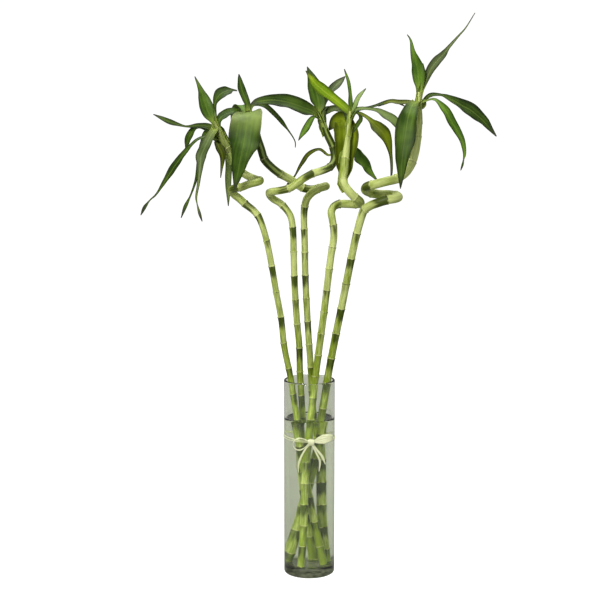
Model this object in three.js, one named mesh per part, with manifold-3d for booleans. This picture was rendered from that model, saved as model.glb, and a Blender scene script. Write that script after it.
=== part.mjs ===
// Spiral lucky bamboo canes standing in a tall glass cylinder vase of water, tied round with raffia.
// Millimetres. +Z up, +X right and +Y away from the viewer. Origin: centre of the vase's underside.
import * as THREE from "three";
import { mergeVertices } from "three/addons/utils/BufferGeometryUtils.js";
import Module from "manifold-3d";

const wasm = await Module();
wasm.setup();

// Driving dimensions
const GAP = 0.3;
const VASE_RADIUS = 32.5;
const VASE_HEIGHT = 254;
const VASE_WALL = 2.8;
const VASE_FLOOR = 12;
const VASE_HEEL = 3;
const HEEL_CUT = 0.3;
const VASE_COVE = 2;
const VASE_LIP = 1.2;
const VASE_SIDES = 40;
const WATER_LEVEL = 203;
const CUT_SLACK = 0.05;
const CLEAR_PAST = 2;
const HOLE_SLACK = 0.2;
const HOLE_BELOW = 6;
const HOLE_ABOVE = 14;
const HOLE_STEPS = 8;

const CANE_SIDES = 8;
const COIL_START = 440;
const COIL_FULL = 500;
const COIL_STEP = 9;
const TIP_TAPER = 36;
const TIP_SHARE = 0.36;
const NODE_RIDGE = 0.7;
const NODE_HALF = 1.6;
const NODE_END_CLEAR = 30;
const STATION_CLEAR = 1.5;
const TIP_CLEAR = 2;

const LEAF_STEP = 14;
const LEAF_EDGE = 0.65;
const LEAF_RIB = 1.1;
const LEAF_SHEATH = 2.2;
const SHEATH_SHARE = 0.28;
const LEAF_KEEL = 0.11;
const LEAF_WAVE = 0.05;
const LEAF_WAVES = 2.5;
const WAVE_BETWEEN = 1.7;
const WAVE_ACROSS = 2;

const TIE_HEIGHT = 180;
const TIE_SLOPE = -0.07;
const TIE_WIDTH = 5;
const TIE_THICK = 0.9;
const LOOP_STEPS = 14;
const TAIL_STEPS = 7;
const KNOT_CENTRE = [2, -36.6, 180];
const KNOT_HALF = [5.2, 3.2, 4.6];
const KNOT_SIDES = 10;
const KNOT_BANDS = 7;

const FINISHES = {
  cane: { color: "#a5b65c", roughness: 0.45 },
  bright: { color: "#8aa526", roughness: 0.4 },
  mid: { color: "#4f7a2e", roughness: 0.4 },
  dark: { color: "#35561f", roughness: 0.4 },
  olive: { color: "#5c6b1c", roughness: 0.4 },
  grey: { color: "#748a58", roughness: 0.4 },
  raffia: { color: "#e0e6b8", roughness: 0.7 },
  glass: { color: "#cfdcd2", roughness: 0.05, transparent: true, opacity: 0.35 },
  water: { color: "#d5e3d6", roughness: 0.05, transparent: true, opacity: 0.3 },
};

// Centre lines run from the cut end on the vase's floor, up through the coil, to the crown.
// node is the arc length of the lowest joint ring, pitch the length of a cane joint, and taper the
// length over which the tip draws in.
const CANES = [
  {
    name: "stalk_1", radius: 3.9, coilRadius: 4.9, node: 29.5, pitch: 33.5,
    path: [
      [15, -3, 8], [5, -6, 70], [-6, -9, 142], [-20, -2, 231], [-25, 0, 261], [-32, 1, 296], [-36, 0, 333],
      [-42, -2, 366], [-47, -5, 397], [-53, -9, 429], [-58, -10, 448], [-64, -9, 463], [-71, -7, 471],
      [-79, -5, 477], [-88, -4, 485], [-95, -7, 491], [-97, -13, 496], [-93, -20, 499], [-84, -26, 501],
      [-74, -28, 505], [-65, -25, 507], [-62, -17, 508], [-66, -10, 509], [-75, -3, 512], [-85, 1, 518],
      [-95, 2, 531], [-104, 0, 548], [-112, -3, 566], [-119, -4, 581],
    ],
  },
  {
    name: "stalk_2", radius: 4.1, coilRadius: 5.1, node: 21.5, pitch: 29.7,
    path: [
      [15, 8, 8], [11, 10, 65], [9, 13, 158], [3, 15, 237], [2, 16, 263], [-1, 17, 306], [-5, 18, 379],
      [-6, 18, 427], [-7, 17, 461], [-6, 15, 473], [-3, 11, 484], [4, 9, 492], [13, 10, 497], [20, 15, 499],
      [20, 22, 498], [13, 27, 496], [2, 28, 494], [-8, 26, 496], [-16, 21, 501], [-25, 15, 508],
      [-37, 8, 515], [-47, 3, 523], [-56, 0, 533], [-61, 0, 548], [-67, 0, 565], [-77, 0, 594],
    ],
  },
  {
    name: "stalk_3", radius: 4.1, coilRadius: 4.7, node: 7, pitch: 31,
    path: [
      [4, 17, 8], [-6, 13, 137], [-7, 12, 165], [-10, 10, 225], [-12, 9, 258], [-13, 8, 297], [-16, 7, 329],
      [-19, 6, 381], [-20, 5, 417], [-21, 5, 446], [-24, 7, 462], [-30, 9, 471], [-37, 10, 478],
      [-45, 8, 483], [-50, 1, 489], [-49, -6, 493], [-42, -14, 495], [-32, -19, 497], [-23, -22, 500],
      [-16, -23, 505], [-8, -23, 511], [3, -22, 517], [13, -19, 520], [22, -13, 523], [28, -5, 527],
      [31, 2, 535], [29, 6, 549], [23, 6, 562], [17, 5, 577], [10, 5, 592],
    ],
  },
  {
    name: "stalk_4", radius: 4.4, coilRadius: 5.3, node: 5.4, pitch: 27.6, taper: 75,
    path: [
      [-10, -19, 8], [-7, -20, 61], [-4, -20, 145], [4, -18, 230], [7, -16, 256], [14, -16, 311],
      [18, -16, 341], [23, -16, 384], [27, -16, 416], [30, -16, 435], [30, -16, 449], [28, -15, 461],
      [27, -12, 469], [30, -8, 475], [37, -4, 478], [48, -2, 478], [57, -4, 478], [63, -10, 479],
      [62, -18, 483], [56, -24, 488], [49, -27, 495], [43, -26, 503], [41, -22, 512], [42.5, -18, 522],
      [44, -15, 534], [47, -11, 558], [50, -8, 593],
    ],
  },
  {
    name: "stalk_5", radius: 4.7, coilRadius: 5.6, node: 16, pitch: 33,
    path: [
      [-19, 13, 8], [-9, 8, 66], [0, 1, 122], [9, -3, 169], [19, -6, 230], [23, -7, 256], [29, -9, 290],
      [35, -12, 322], [41, -16, 353], [47, -20, 386], [55, -26, 428], [60, -29, 450], [64, -31, 465],
      [67, -34, 473], [74, -40, 479], [83, -46, 483], [95, -48, 487], [104, -43, 488], [109, -34, 489],
      [107, -24, 490], [98, -17, 491], [87, -14, 491], [76, -16, 493], [69, -24, 497], [70, -34, 502],
      [78, -42, 505], [92, -46, 509], [105, -42, 512], [116, -35, 518], [123, -28, 526], [128, -23, 538],
      [131, -19, 551], [133, -16, 571], [135, -11, 617],
    ],
  },
];

// Leaves of each crown. from is how far below the cane's tip the blade leaves it and foot its width
// there. rib lists the midrib's points from the tip of the cane, each with the blade's width at it.
// face is the way the blade's upper side looks, and keel how steeply its halves fold up.
const LEAVES = {
  stalk_1: [
    { name: "upright", tone: "dark", from: 2, foot: 11, face: [0.2, -1, 0.2],
      rib: [[-4, 2, 6, 16], [-9, 4, 17, 17.5], [-13, 7, 28, 14], [-16, 10, 37, 7.5], [-24, 14, 55, 1]] },
    { name: "arched", tone: "mid", from: 7, foot: 4, face: [0.2, -0.7, 0.7],
      rib: [[1, 6, 20, 4.5], [3, 9, 27, 9], [9, 15, 34, 16], [16, 21, 37, 14], [22, 27, 38, 4.5],
        [28, 31, 37, 2]] },
    { name: "right", tone: "mid", from: 13, foot: 6, face: [-0.3, -0.8, 0.6],
      rib: [[6, 4, 0, 8], [12, 10, 7, 14], [19, 16, 10, 14.5], [27, 22, 13, 10], [33, 26, 15, 2]] },
    { name: "left", tone: "dark", from: 16, foot: 7, face: [0, -0.8, 0.6],
      rib: [[-7, 4, -7, 9], [-20, 10, -6, 7.5], [-36, 15, -7, 3], [-45, 17, -5, 5], [-55, 19, -2, 7.5],
        [-64, 20, 2, 6], [-77, 22, 8, 1]] },
    { name: "folded", tone: "mid", from: 22, foot: 6, face: [-0.3, -0.7, 0.6],
      rib: [[-13, 8, -7, 9], [-22, 14, -8, 9], [-28, 19, -14, 12], [-33, 22, -22, 11.5],
        [-37, 26, -36, 2]] },
    { name: "long_droop", tone: "mid", from: 28, foot: 6, face: [-0.6, -0.6, 0.5],
      rib: [[-7, -6, -19, 6.5], [-19, -12, -22, 6], [-25, -15, -27, 6], [-32, -18, -35, 10.5],
        [-46, -23, -53, 14], [-59, -26, -73, 8.5], [-71, -26, -90, 3.5], [-78, -25, -96, 2.5],
        [-85, -24, -106, 7], [-90, -23, -115, 1.5]] },
    { name: "front_droop", tone: "dark", from: 9, foot: 8, face: [-0.2, -0.9, 0.4],
      rib: [[-2, -10, -15, 10.5], [-10, -26, -32, 13.5], [-14, -31, -41, 13.5], [-15, -34, -52, 8.5],
        [-17, -39, -74, 4], [-20, -41, -92, 2.5], [-19, -41, -99, 1.5], [-16, -41, -111, 3.5],
        [-13, -40, -121, 1]] },
    { name: "back_droop", tone: "dark", from: 34, foot: 7, face: [-0.4, -0.8, 0.4],
      rib: [[-8, 12, -15, 10.5], [-14, 18, -30, 11], [-18, 22, -47, 10], [-25, 27, -76, 4],
        [-32, 27, -95, 2.5], [-38, 26, -108, 5.5], [-44, 24, -123, 1]] },
    { name: "down", tone: "olive", from: 38, foot: 7, face: [0.4, -0.8, 0.3],
      rib: [[4, -8, -27, 8], [8, -12, -34, 11], [11, -16, -42, 8], [10, -19, -59, 3], [9, -20, -69, 1]] },
    { name: "short", tone: "dark", from: 24, foot: 7, face: [0.5, -0.6, 0.5],
      rib: [[8, 10, -11, 10.5], [13, 16, -24, 11.5], [16, 18, -34, 2]] },
    { name: "hanging", tone: "grey", from: 44, foot: 5, face: [0.5, -0.8, 0.2],
      rib: [[14, 12, -25, 4.5], [16, 20, -37, 6], [17, 24, -49, 7.5], [16, 28, -80, 6.5],
        [16, 28, -108, 1]] },
  ],
  stalk_2: [
    { name: "spear", tone: "bright", from: 0, foot: 6, face: [0.3, -1, 0.1],
      rib: [[0, 2, 6, 7], [-3, 4, 15, 9], [-7, 6, 24, 10], [-10, 8, 38, 5.5], [-11, 8, 45, 1]] },
    { name: "broad", tone: "dark", from: 8, foot: 12, face: [0, -0.8, 0.6],
      rib: [[1, -14, 3, 24], [1, -30, 1, 36], [1, -40, -7, 40], [0, -45, -16, 40], [-3, -50, -38, 37],
        [-5, -51, -47, 28], [-10, -50, -71, 15.5], [-15, -46, -95, 1.5]] },
    { name: "right", tone: "dark", from: 5, foot: 5, face: [0.3, -0.7, 0.6],
      rib: [[5, 6, 6, 5], [20, 12, 6, 7.5], [33, 17, -5, 8.5], [40, 20, -13, 8], [50, 23, -25, 2.5],
        [59, 24, -40, 1.5], [59, 24, -47, 1]] },
    { name: "back", tone: "mid", from: 16, foot: 8, face: [-0.2, 0.6, 0.8],
      rib: [[-10, 22, 6, 14], [-14, 42, -6, 18], [-14, 52, -34, 13], [-10, 54, -66, 1.5]] },
  ],
  stalk_3: [
    { name: "left", tone: "dark", from: 6, foot: 9, face: [0, -0.8, 0.6],
      rib: [[-8, -7, 2, 16], [-16, -11, 5, 21], [-36, -18, 12, 22], [-56, -21, 15, 15.5],
        [-75, -22, 13, 9.5], [-83, -22, 10, 1.5]] },
    { name: "upright", tone: "dark", from: 1, foot: 9, face: [0.1, -1, 0.1],
      rib: [[2, 2, 9, 15], [0, 4, 19, 21.5], [-3, 7, 30, 19], [-7, 10, 41, 12], [-13, 14, 56, 1]] },
    { name: "upper_right", tone: "grey", from: 10, foot: 6, face: [-0.4, -0.7, 0.5],
      rib: [[8, 7, 11, 8], [14, 14, 22, 11.5], [21, 20, 30, 13.5], [27, 25, 36, 12], [35, 31, 44, 1.5]] },
    { name: "down_left", tone: "olive", from: 15, foot: 5, face: [-0.4, -0.8, 0.5],
      rib: [[-5, -11, -6, 6.5], [-13, -22, -18, 10.5], [-18, -26, -25, 7.5], [-24, -30, -34, 1]] },
    { name: "small_right", tone: "grey", from: 18, foot: 6, face: [0.1, -0.7, 0.7],
      rib: [[9, 13, 2, 7], [21, 23, 3, 9.5], [34, 31, -1, 2.5]] },
    { name: "curled", tone: "olive", from: 54, foot: 4, face: [-0.4, -0.5, 0.7],
      rib: [[14, 5, -54, 3.5], [3, 10, -47, 4.5], [-11, 16, -54, 11], [-21, 20, -68, 6.5],
        [-29, 21, -82, 3.5], [-37, 21, -92, 5.5], [-39, 21, -97, 1.5]] },
  ],
  stalk_4: [
    { name: "young", tone: "bright", from: 3, foot: 8, face: [-0.3, -0.8, 0.5],
      rib: [[-7, -3, 5, 11], [-18, -6, 14, 11.5], [-35, -12, 27, 14.5], [-43, -15, 34, 12],
        [-49, -17, 42, 6], [-55, -20, 50, 1]] },
    { name: "thin_upright", tone: "mid", from: 0, foot: 5, face: [0.7, -0.7, 0],
      rib: [[0, 2, 9, 8], [-1, 8, 29, 6], [-3, 11, 39, 5.5], [-7, 15, 52, 1.5]] },
    { name: "pale", tone: "grey", from: 8, foot: 5, face: [-0.5, -0.7, 0.4],
      rib: [[6, 4, 7, 8], [12, 9, 19, 6.5], [20, 15, 28, 1.5]] },
    { name: "thin_right", tone: "dark", from: 12, foot: 5, face: [0, -0.7, 0.7],
      rib: [[6, 6, 1, 7], [23, 15, 4, 5], [33, 18, 7, 4], [49, 22, 12, 5.5], [57, 23, 12, 5.5],
        [69, 24, 6, 1.5]] },
    { name: "light_right", tone: "bright", from: 14, foot: 5, face: [0.1, -0.8, 0.6],
      rib: [[8, -4, 2, 6.5], [26, -12, 3, 4.5], [35, -15, 1, 7], [43, -18, -4, 11], [51, -20, -9, 13],
        [58, -22, -17, 10], [68, -23, -35, 1]] },
    { name: "olive_droop", tone: "olive", from: 18, foot: 5, face: [0.3, -0.8, 0.5],
      rib: [[6, -4, -2, 6], [19, -12, -6, 5.5], [25, -16, -11, 7.5], [32, -20, -18, 16.5],
        [39, -24, -25, 19], [44, -27, -34, 13.5], [49, -31, -53, 4.5], [50, -32, -73, 3],
        [49, -32, -81, 1]] },
    { name: "low_right", tone: "dark", from: 52, foot: 7, face: [0.4, -0.7, 0.6],
      rib: [[5, 10, -50, 14], [11, 15, -58, 22], [18, 19, -65, 19], [24, 22, -74, 13],
        [29, 24, -80, 7.5], [37, 26, -89, 1.5]] },
    { name: "small_left", tone: "grey", from: 18, foot: 6, face: [0, -0.7, 0.7],
      rib: [[-7, 10, 2, 8], [-23, 20, 2, 11.5], [-29, 23, -2, 7], [-34, 25, -6, 1.5]] },
    { name: "hugging", tone: "olive", from: 78, foot: 10, keel: 0.25, face: [0, -1, 0.1],
      rib: [[-7, -1, -75, 17], [-6, 1, -60, 22], [-5, 4, -35, 29], [-5, 6, -23, 28.5],
        [-7, 8, -14, 23.5], [-10, 14, -10, 18.5], [-16, 20, -12, 15], [-26, 28, -24, 1.5]] },
    { name: "small_dark", tone: "dark", from: 16, foot: 4, face: [0.4, -0.8, 0.3],
      rib: [[7, -4, 0, 4.5], [13, -10, -8, 5.5], [9, -12, -15, 5.5], [3, -13, -26, 1]] },
  ],
  stalk_5: [
    { name: "spear", tone: "mid", from: 0, foot: 8, face: [0.2, -1, 0.1],
      rib: [[0, 1, 5, 10], [-1, 2, 17, 15.5], [-2, 4, 28, 16], [-5, 5, 39, 11.5], [-8, 6, 49, 6.5],
        [-11, 8, 64, 2.5], [-15, 9, 70, 1]] },
    { name: "small", tone: "dark", from: 3, foot: 5, face: [0.5, -0.8, 0],
      rib: [[4, 4, 10, 7.5], [5, 6, 19, 9], [5, 10, 35, 1]] },
    { name: "upper_right", tone: "mid", from: 7, foot: 5, face: [-0.5, -0.7, 0.4],
      rib: [[6, 4, 7, 6.5], [16, 10, 29, 13], [23, 13, 38, 14], [31, 15, 46, 11], [37, 17, 54, 6],
        [49, 20, 68, 3], [58, 22, 78, 2], [70, 25, 97, 1]] },
    { name: "right", tone: "dark", from: 20, foot: 5, face: [0.1, -0.7, 0.7],
      rib: [[4, 3, -17, 9], [8, 7, -9, 5], [15, 11, -4, 6], [29, 19, -4, 4.5], [36, 22, -7, 9.5],
        [57, 28, -18, 19.5], [68, 30, -24, 22.5], [85, 34, -38, 16], [93, 36, -47, 8.5],
        [101, 37, -56, 1.5]] },
    { name: "light_right", tone: "bright", from: 14, foot: 5, face: [0.4, -0.8, 0.4],
      rib: [[6, -3, -12, 5], [18, -12, -9, 5], [31, -20, -23, 13], [37, -23, -34, 12.5],
        [50, -27, -57, 9], [54, -27, -75, 4.5], [53, -27, -82, 2], [52, -26, -88, 3], [50, -25, -95, 1]] },
    { name: "front_droop", tone: "dark", from: 10, foot: 8, face: [-0.1, -0.8, 0.6],
      rib: [[-7, -11, -10, 10.5], [-15, -32, -24, 19.5], [-17, -38, -36, 24.5], [-19, -42, -49, 25.5],
        [-23, -47, -77, 17.5], [-24, -47, -91, 11.5], [-25, -45, -116, 1]] },
    { name: "left", tone: "olive", from: 26, foot: 5, face: [0, -0.7, 0.7],
      rib: [[-8, 5, -14, 7], [-25, 16, -13, 8], [-35, 20, -12, 7], [-49, 24, -18, 1.5]] },
    { name: "back", tone: "mid", from: 32, foot: 7, face: [0.2, 0.6, 0.8],
      rib: [[-8, 22, -20, 13], [-18, 40, -30, 17], [-22, 50, -54, 13], [-22, 52, -86, 1.5]] },
  ],
};

// Raffia strips from the knot: points from the knot's centre, widths along them, and the way the
// strip's width runs.
const RAFFIA = [
  { across: [0, 1, 0.5], widths: [3, 6, 6, 6, 3], looped: true,
    path: [[-3, 0, 1], [-10, -2, 4], [-22, -3, 3], [-25, -3, -2], [-18, -2, -8], [-9, -1, -7], [-3, 0, -1]] },
  { across: [0, 0, 1], widths: [4, 13, 15, 12, 4], looped: true,
    path: [[3, 0, 1], [12, -5, 4], [24, -5, 6], [29, -1, 5], [24, 3, 4], [13, 2.6, 3], [3, 1, 1]] },
  { across: [1, 0, 0.3], widths: [3, 5, 5, 3],
    path: [[-2, 0, -2], [-10, -1, -12], [-18, 0, -25], [-18, 2, -41]] },
  { across: [1, 0, -0.3], widths: [3, 5, 5, 4],
    path: [[2, 0, -2], [8, -1, -14], [15, 0, -28]] },
  { across: [1, -0.3, 0], widths: [3, 4, 5, 3],
    path: [[1, -1, -2], [4, -3, -18], [7, -1, -37]] },
];

function vector(point) {
  return new THREE.Vector3(point[0], point[1], point[2]);
}

function curveThrough(points) {
  const curve = new THREE.CatmullRomCurve3(points, false, "centripetal");
  curve.arcLengthDivisions = 400;
  return curve;
}

// Skin over rings of equal point count. The sides in flipped are split along the other diagonal.
function sweep(rings, { closed = false, flipped = [] } = {}) {
  const sides = rings[0].length;
  const index = [];
  const spans = closed ? rings.length : rings.length - 1;
  for (let i = 0; i < spans; i += 1) {
    const here = i * sides;
    const next = ((i + 1) % rings.length) * sides;
    for (let j = 0; j < sides; j += 1) {
      const k = (j + 1) % sides;
      if (flipped.includes(j)) {
        index.push(here + j, here + k, next + j, here + k, next + k, next + j);
      } else {
        index.push(here + j, here + k, next + k, here + j, next + k, next + j);
      }
    }
  }
  const end = (rings.length - 1) * sides;
  for (let j = 1; j < sides - 1 && !closed; j += 1) {
    index.push(0, j + 1, j, end, end + j, end + j + 1);
  }
  const geometry = new THREE.BufferGeometry();
  const positions = rings.flat().flatMap((point) => point.toArray());
  geometry.setAttribute("position", new THREE.Float32BufferAttribute(positions, 3));
  geometry.setIndex(index);
  return geometry;
}

function toManifold(geometry) {
  const bare = geometry.clone();
  bare.deleteAttribute("normal");
  bare.deleteAttribute("uv");
  const merged = mergeVertices(bare, 1e-4);
  return new wasm.Manifold(new wasm.Mesh({
    numProp: 3,
    vertProperties: new Float32Array(merged.attributes.position.array),
    triVerts: new Uint32Array(merged.index.array),
  }));
}

function toGeometry(manifold) {
  const mesh = manifold.getMesh();
  const geometry = new THREE.BufferGeometry();
  geometry.setAttribute("position", new THREE.Float32BufferAttribute(mesh.vertProperties, 3));
  geometry.setIndex(Array.from(mesh.triVerts));
  geometry.computeVertexNormals();
  return geometry;
}

function largestBody(manifold) {
  return manifold.decompose().reduce((best, body) => (body.volume() > best.volume() ? body : best));
}

function lathe(profile, sides) {
  const points = profile.map(([radius, height]) => new THREE.Vector2(radius, height));
  return new THREE.LatheGeometry(points, sides).rotateX(Math.PI / 2);
}

function vaseSolid() {
  const inner = VASE_RADIUS - VASE_WALL;
  const lipMiddle = VASE_RADIUS - VASE_WALL / 2;
  return toManifold(lathe([
    [0, 0],
    [VASE_RADIUS - VASE_HEEL, 0],
    [VASE_RADIUS - VASE_HEEL * HEEL_CUT, VASE_HEEL * HEEL_CUT],
    [VASE_RADIUS, VASE_HEEL],
    [VASE_RADIUS, VASE_HEIGHT - VASE_LIP],
    [lipMiddle, VASE_HEIGHT],
    [inner, VASE_HEIGHT - VASE_LIP],
    [inner, VASE_FLOOR + VASE_COVE],
    [inner - VASE_COVE, VASE_FLOOR],
    [0, VASE_FLOOR],
  ], VASE_SIDES));
}

function waterSolid(channels) {
  const radius = VASE_RADIUS - VASE_WALL - GAP;
  const foot = VASE_FLOOR + GAP;
  const body = toManifold(lathe([
    [0, foot],
    [radius - VASE_COVE, foot],
    [radius, foot + VASE_COVE],
    [radius, WATER_LEVEL],
    [0, WATER_LEVEL],
  ], VASE_SIDES));
  return channels.reduce((water, channel) => water.subtract(channel), body);
}

// Joint rings sit at even steps along the cane; between them only the coil needs more sections.
function caneStations(cane, length) {
  const rings = [];
  for (let s = cane.node; s < length - NODE_END_CLEAR; s += cane.pitch) {
    rings.push(s);
  }
  const stations = rings.flatMap((s) => [
    { s: s - NODE_HALF, ridge: 0 },
    { s, ridge: NODE_RIDGE },
    { s: s + NODE_HALF, ridge: 0 },
  ]);
  const clear = NODE_HALF + STATION_CLEAR;
  for (let s = COIL_START; s < length; s += COIL_STEP) {
    if (rings.every((ring) => Math.abs(ring - s) > clear) && s < length - TIP_CLEAR) {
      stations.push({ s, ridge: 0 });
    }
  }
  stations.push({ s: 0, ridge: 0 }, { s: length, ridge: 0 });
  return stations.sort((a, b) => a.s - b.s).filter(({ s }) => s >= 0);
}

function caneRadius(cane, s, length) {
  const coil = THREE.MathUtils.smoothstep(s, COIL_START, COIL_FULL);
  const { taper = TIP_TAPER } = cane;
  const tip = THREE.MathUtils.smoothstep(s, length - taper, length);
  const full = THREE.MathUtils.lerp(cane.radius, cane.coilRadius, coil);
  return full * THREE.MathUtils.lerp(1, TIP_SHARE, tip);
}

// Round sections carried along a curve without twisting
function roundRings(curve, stations, sides) {
  const length = curve.getLength();
  let normal = new THREE.Vector3(1, 0, 0);
  return stations.map(({ s, radius }) => {
    const u = THREE.MathUtils.clamp(s / length, 0, 1);
    const centre = curve.getPointAt(u);
    const tangent = curve.getTangentAt(u);
    centre.addScaledVector(tangent, s - u * length);
    normal = normal.clone().addScaledVector(tangent, -normal.dot(tangent)).normalize();
    const binormal = new THREE.Vector3().crossVectors(tangent, normal);
    return Array.from({ length: sides }, (_, k) => {
      const angle = (2 * Math.PI * k) / sides;
      return centre.clone()
        .addScaledVector(normal, radius * Math.cos(angle))
        .addScaledVector(binormal, radius * Math.sin(angle));
    });
  });
}

function caneSolid(cane) {
  const length = cane.curve.getLength();
  const stations = caneStations(cane, length).map(({ s, ridge }) => (
    { s, radius: caneRadius(cane, s, length) + ridge }
  ));
  const rod = toManifold(sweep(roundRings(cane.curve, stations, CANE_SIDES)));
  return rod.trimByPlane([0, 0, 1], VASE_FLOOR + GAP);
}

// The cane grown all over, which leaves a clear gap where it is cut from a neighbour
function caneClearance(cane) {
  const length = cane.curve.getLength();
  const gap = GAP + CUT_SLACK;
  const grow = gap / Math.cos(Math.PI / CANE_SIDES);
  const stations = caneStations(cane, length).map(({ s, ridge }) => {
    const past = s === length ? gap : 0;
    return { s: s + past, radius: caneRadius(cane, s, length) + ridge + grow };
  });
  return toManifold(sweep(roundRings(cane.curve, stations, CANE_SIDES)));
}

// A plain hole through the water, wide enough for the cane's joint rings
function waterChannel(cane) {
  const radius = cane.radius + NODE_RIDGE + GAP + HOLE_SLACK;
  const reach = HOLE_BELOW + WATER_LEVEL + HOLE_ABOVE;
  const stations = Array.from({ length: HOLE_STEPS + 1 }, (_, k) => (
    { s: (reach * k) / HOLE_STEPS - HOLE_BELOW, radius }
  ));
  return toManifold(sweep(roundRings(cane.curve, stations, CANE_SIDES)));
}

// Sections at the midrib's points, and one midway between two that stand far apart. t is the
// share of the way from the blade's foot to its tip, counted in points.
function leafStations(leaf) {
  const widths = [leaf.foot, ...leaf.rib.map((point) => point[3])];
  const last = widths.length - 1;
  const stations = [];
  for (let i = 0; i < last; i += 1) {
    stations.push({ t: i / last, width: widths[i] });
    if (leaf.points[i].distanceTo(leaf.points[i + 1]) > LEAF_STEP) {
      stations.push({ t: (i + 0.5) / last, width: (widths[i] + widths[i + 1]) / 2 });
    }
  }
  stations.push({ t: 1, width: widths[last] });
  return stations;
}

// A blade with a keeled section and waved edges. grow thickens it all over.
function leafSolid(leaf, grow) {
  const face = vector(leaf.face).normalize();
  const { keel = LEAF_KEEL } = leaf;
  const rings = leafStations(leaf).map(({ t, width }) => {
    const centre = leaf.curve.getPoint(t);
    const tangent = leaf.curve.getTangent(t);
    const side = new THREE.Vector3().crossVectors(tangent, face).normalize();
    const up = new THREE.Vector3().crossVectors(side, tangent);
    const half = width / 2;
    const sheath = THREE.MathUtils.smoothstep(1 - t, 1 - SHEATH_SHARE, 1);
    const rib = THREE.MathUtils.lerp(LEAF_RIB, LEAF_SHEATH, sheath) / 2 + grow;
    const edge = LEAF_EDGE / 2 + grow;
    const swing = LEAF_WAVE * width * Math.sin(Math.PI * t);
    const lift = width * keel;
    const turn = 2 * Math.PI * LEAF_WAVES * t + leaf.phase;
    const left = lift + swing * Math.sin(turn);
    const right = lift + swing * Math.sin(turn + WAVE_ACROSS);
    const at = (across, height) => centre.clone()
      .addScaledVector(side, across)
      .addScaledVector(up, height);
    return [
      at(0, rib),
      at(half + grow, right + edge),
      at(half + grow, right - edge),
      at(0, -rib),
      at(-half - grow, left - edge),
      at(-half - grow, left + edge),
    ];
  });
  return toManifold(sweep(rings, { flipped: [2, 5] }));
}

function placeLeaves(canes) {
  const placed = [];
  for (const cane of canes) {
    const length = cane.curve.getLength();
    const tip = cane.curve.getPointAt(1);
    LEAVES[cane.name].forEach((row, i) => {
      const base = cane.curve.getPointAt(1 - row.from / length);
      const points = [base, ...row.rib.map((point) => vector(point).add(tip))];
      const name = `leaf_${cane.name.slice(-1)}_${row.name}`;
      placed.push({ ...row, name, points, curve: curveThrough(points), phase: WAVE_BETWEEN * i });
    });
  }
  return placed;
}

// Each blade is cut back, by a clear gap, from the canes and from the blades listed before it.
function leafSolids(leaves, canes) {
  const taken = canes.map(caneClearance);
  return leaves.map((leaf) => {
    const cut = taken.reduce((blade, other) => blade.subtract(other), leafSolid(leaf, 0));
    taken.push(leafSolid(leaf, GAP));
    return { name: leaf.name, tone: leaf.tone, solid: largestBody(cut) };
  });
}

function bandSolid() {
  const inner = VASE_RADIUS + GAP;
  const outer = inner + TIE_THICK;
  const rings = Array.from({ length: VASE_SIDES }, (_, k) => {
    const angle = (2 * Math.PI * k) / VASE_SIDES;
    const corner = (radius, height) => {
      const x = radius * Math.cos(angle);
      return new THREE.Vector3(x, radius * Math.sin(angle), TIE_HEIGHT + TIE_SLOPE * x + height);
    };
    const half = TIE_WIDTH / 2;
    return [corner(inner, -half), corner(inner, half), corner(outer, half), corner(outer, -half)];
  });
  return toManifold(sweep(rings, { closed: true }));
}

function stripSolid(strip) {
  const knot = vector(KNOT_CENTRE);
  const curve = curveThrough(strip.path.map((point) => vector(point).add(knot)));
  const across = vector(strip.across).normalize();
  const steps = strip.looped ? LOOP_STEPS : TAIL_STEPS;
  const rings = Array.from({ length: steps + 1 }, (_, i) => {
    const t = i / steps;
    const centre = curve.getPointAt(t);
    const tangent = curve.getTangentAt(t);
    const side = across.clone().addScaledVector(tangent, -across.dot(tangent)).normalize();
    const up = new THREE.Vector3().crossVectors(side, tangent);
    const place = t * (strip.widths.length - 1);
    const low = Math.min(Math.floor(place), strip.widths.length - 2);
    const half = THREE.MathUtils.lerp(strip.widths[low], strip.widths[low + 1], place - low) / 2;
    const at = (a, b) => centre.clone().addScaledVector(side, a).addScaledVector(up, b);
    const thick = TIE_THICK / 2;
    return [at(-half, thick), at(half, thick), at(half, -thick), at(-half, -thick)];
  });
  return toManifold(sweep(rings));
}

function knotSolid() {
  const ball = new THREE.SphereGeometry(1, KNOT_SIDES, KNOT_BANDS);
  ball.scale(KNOT_HALF[0], KNOT_HALF[1], KNOT_HALF[2]);
  ball.translate(KNOT_CENTRE[0], KNOT_CENTRE[1], KNOT_CENTRE[2]);
  return toManifold(ball);
}

// The space the vase fills, which the tie is cut away from
function vaseClearance() {
  const low = -CLEAR_PAST;
  const tall = VASE_HEIGHT + CLEAR_PAST;
  const wide = (VASE_RADIUS + GAP) / Math.cos(Math.PI / VASE_SIDES);
  return toManifold(lathe([[0, low], [wide, low], [wide, tall], [0, tall]], VASE_SIDES));
}

function tieSolid() {
  const whole = [knotSolid(), ...RAFFIA.map(stripSolid)].reduce((sum, piece) => sum.add(piece), bandSolid());
  return whole.subtract(vaseClearance());
}

const group = new THREE.Group();
group.name = "lucky_bamboo";

function addMesh(name, solid, finish) {
  const material = new THREE.MeshStandardMaterial({ metalness: 0, ...FINISHES[finish] });
  const mesh = new THREE.Mesh(toGeometry(solid), material);
  mesh.name = name;
  group.add(mesh);
}

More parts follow.
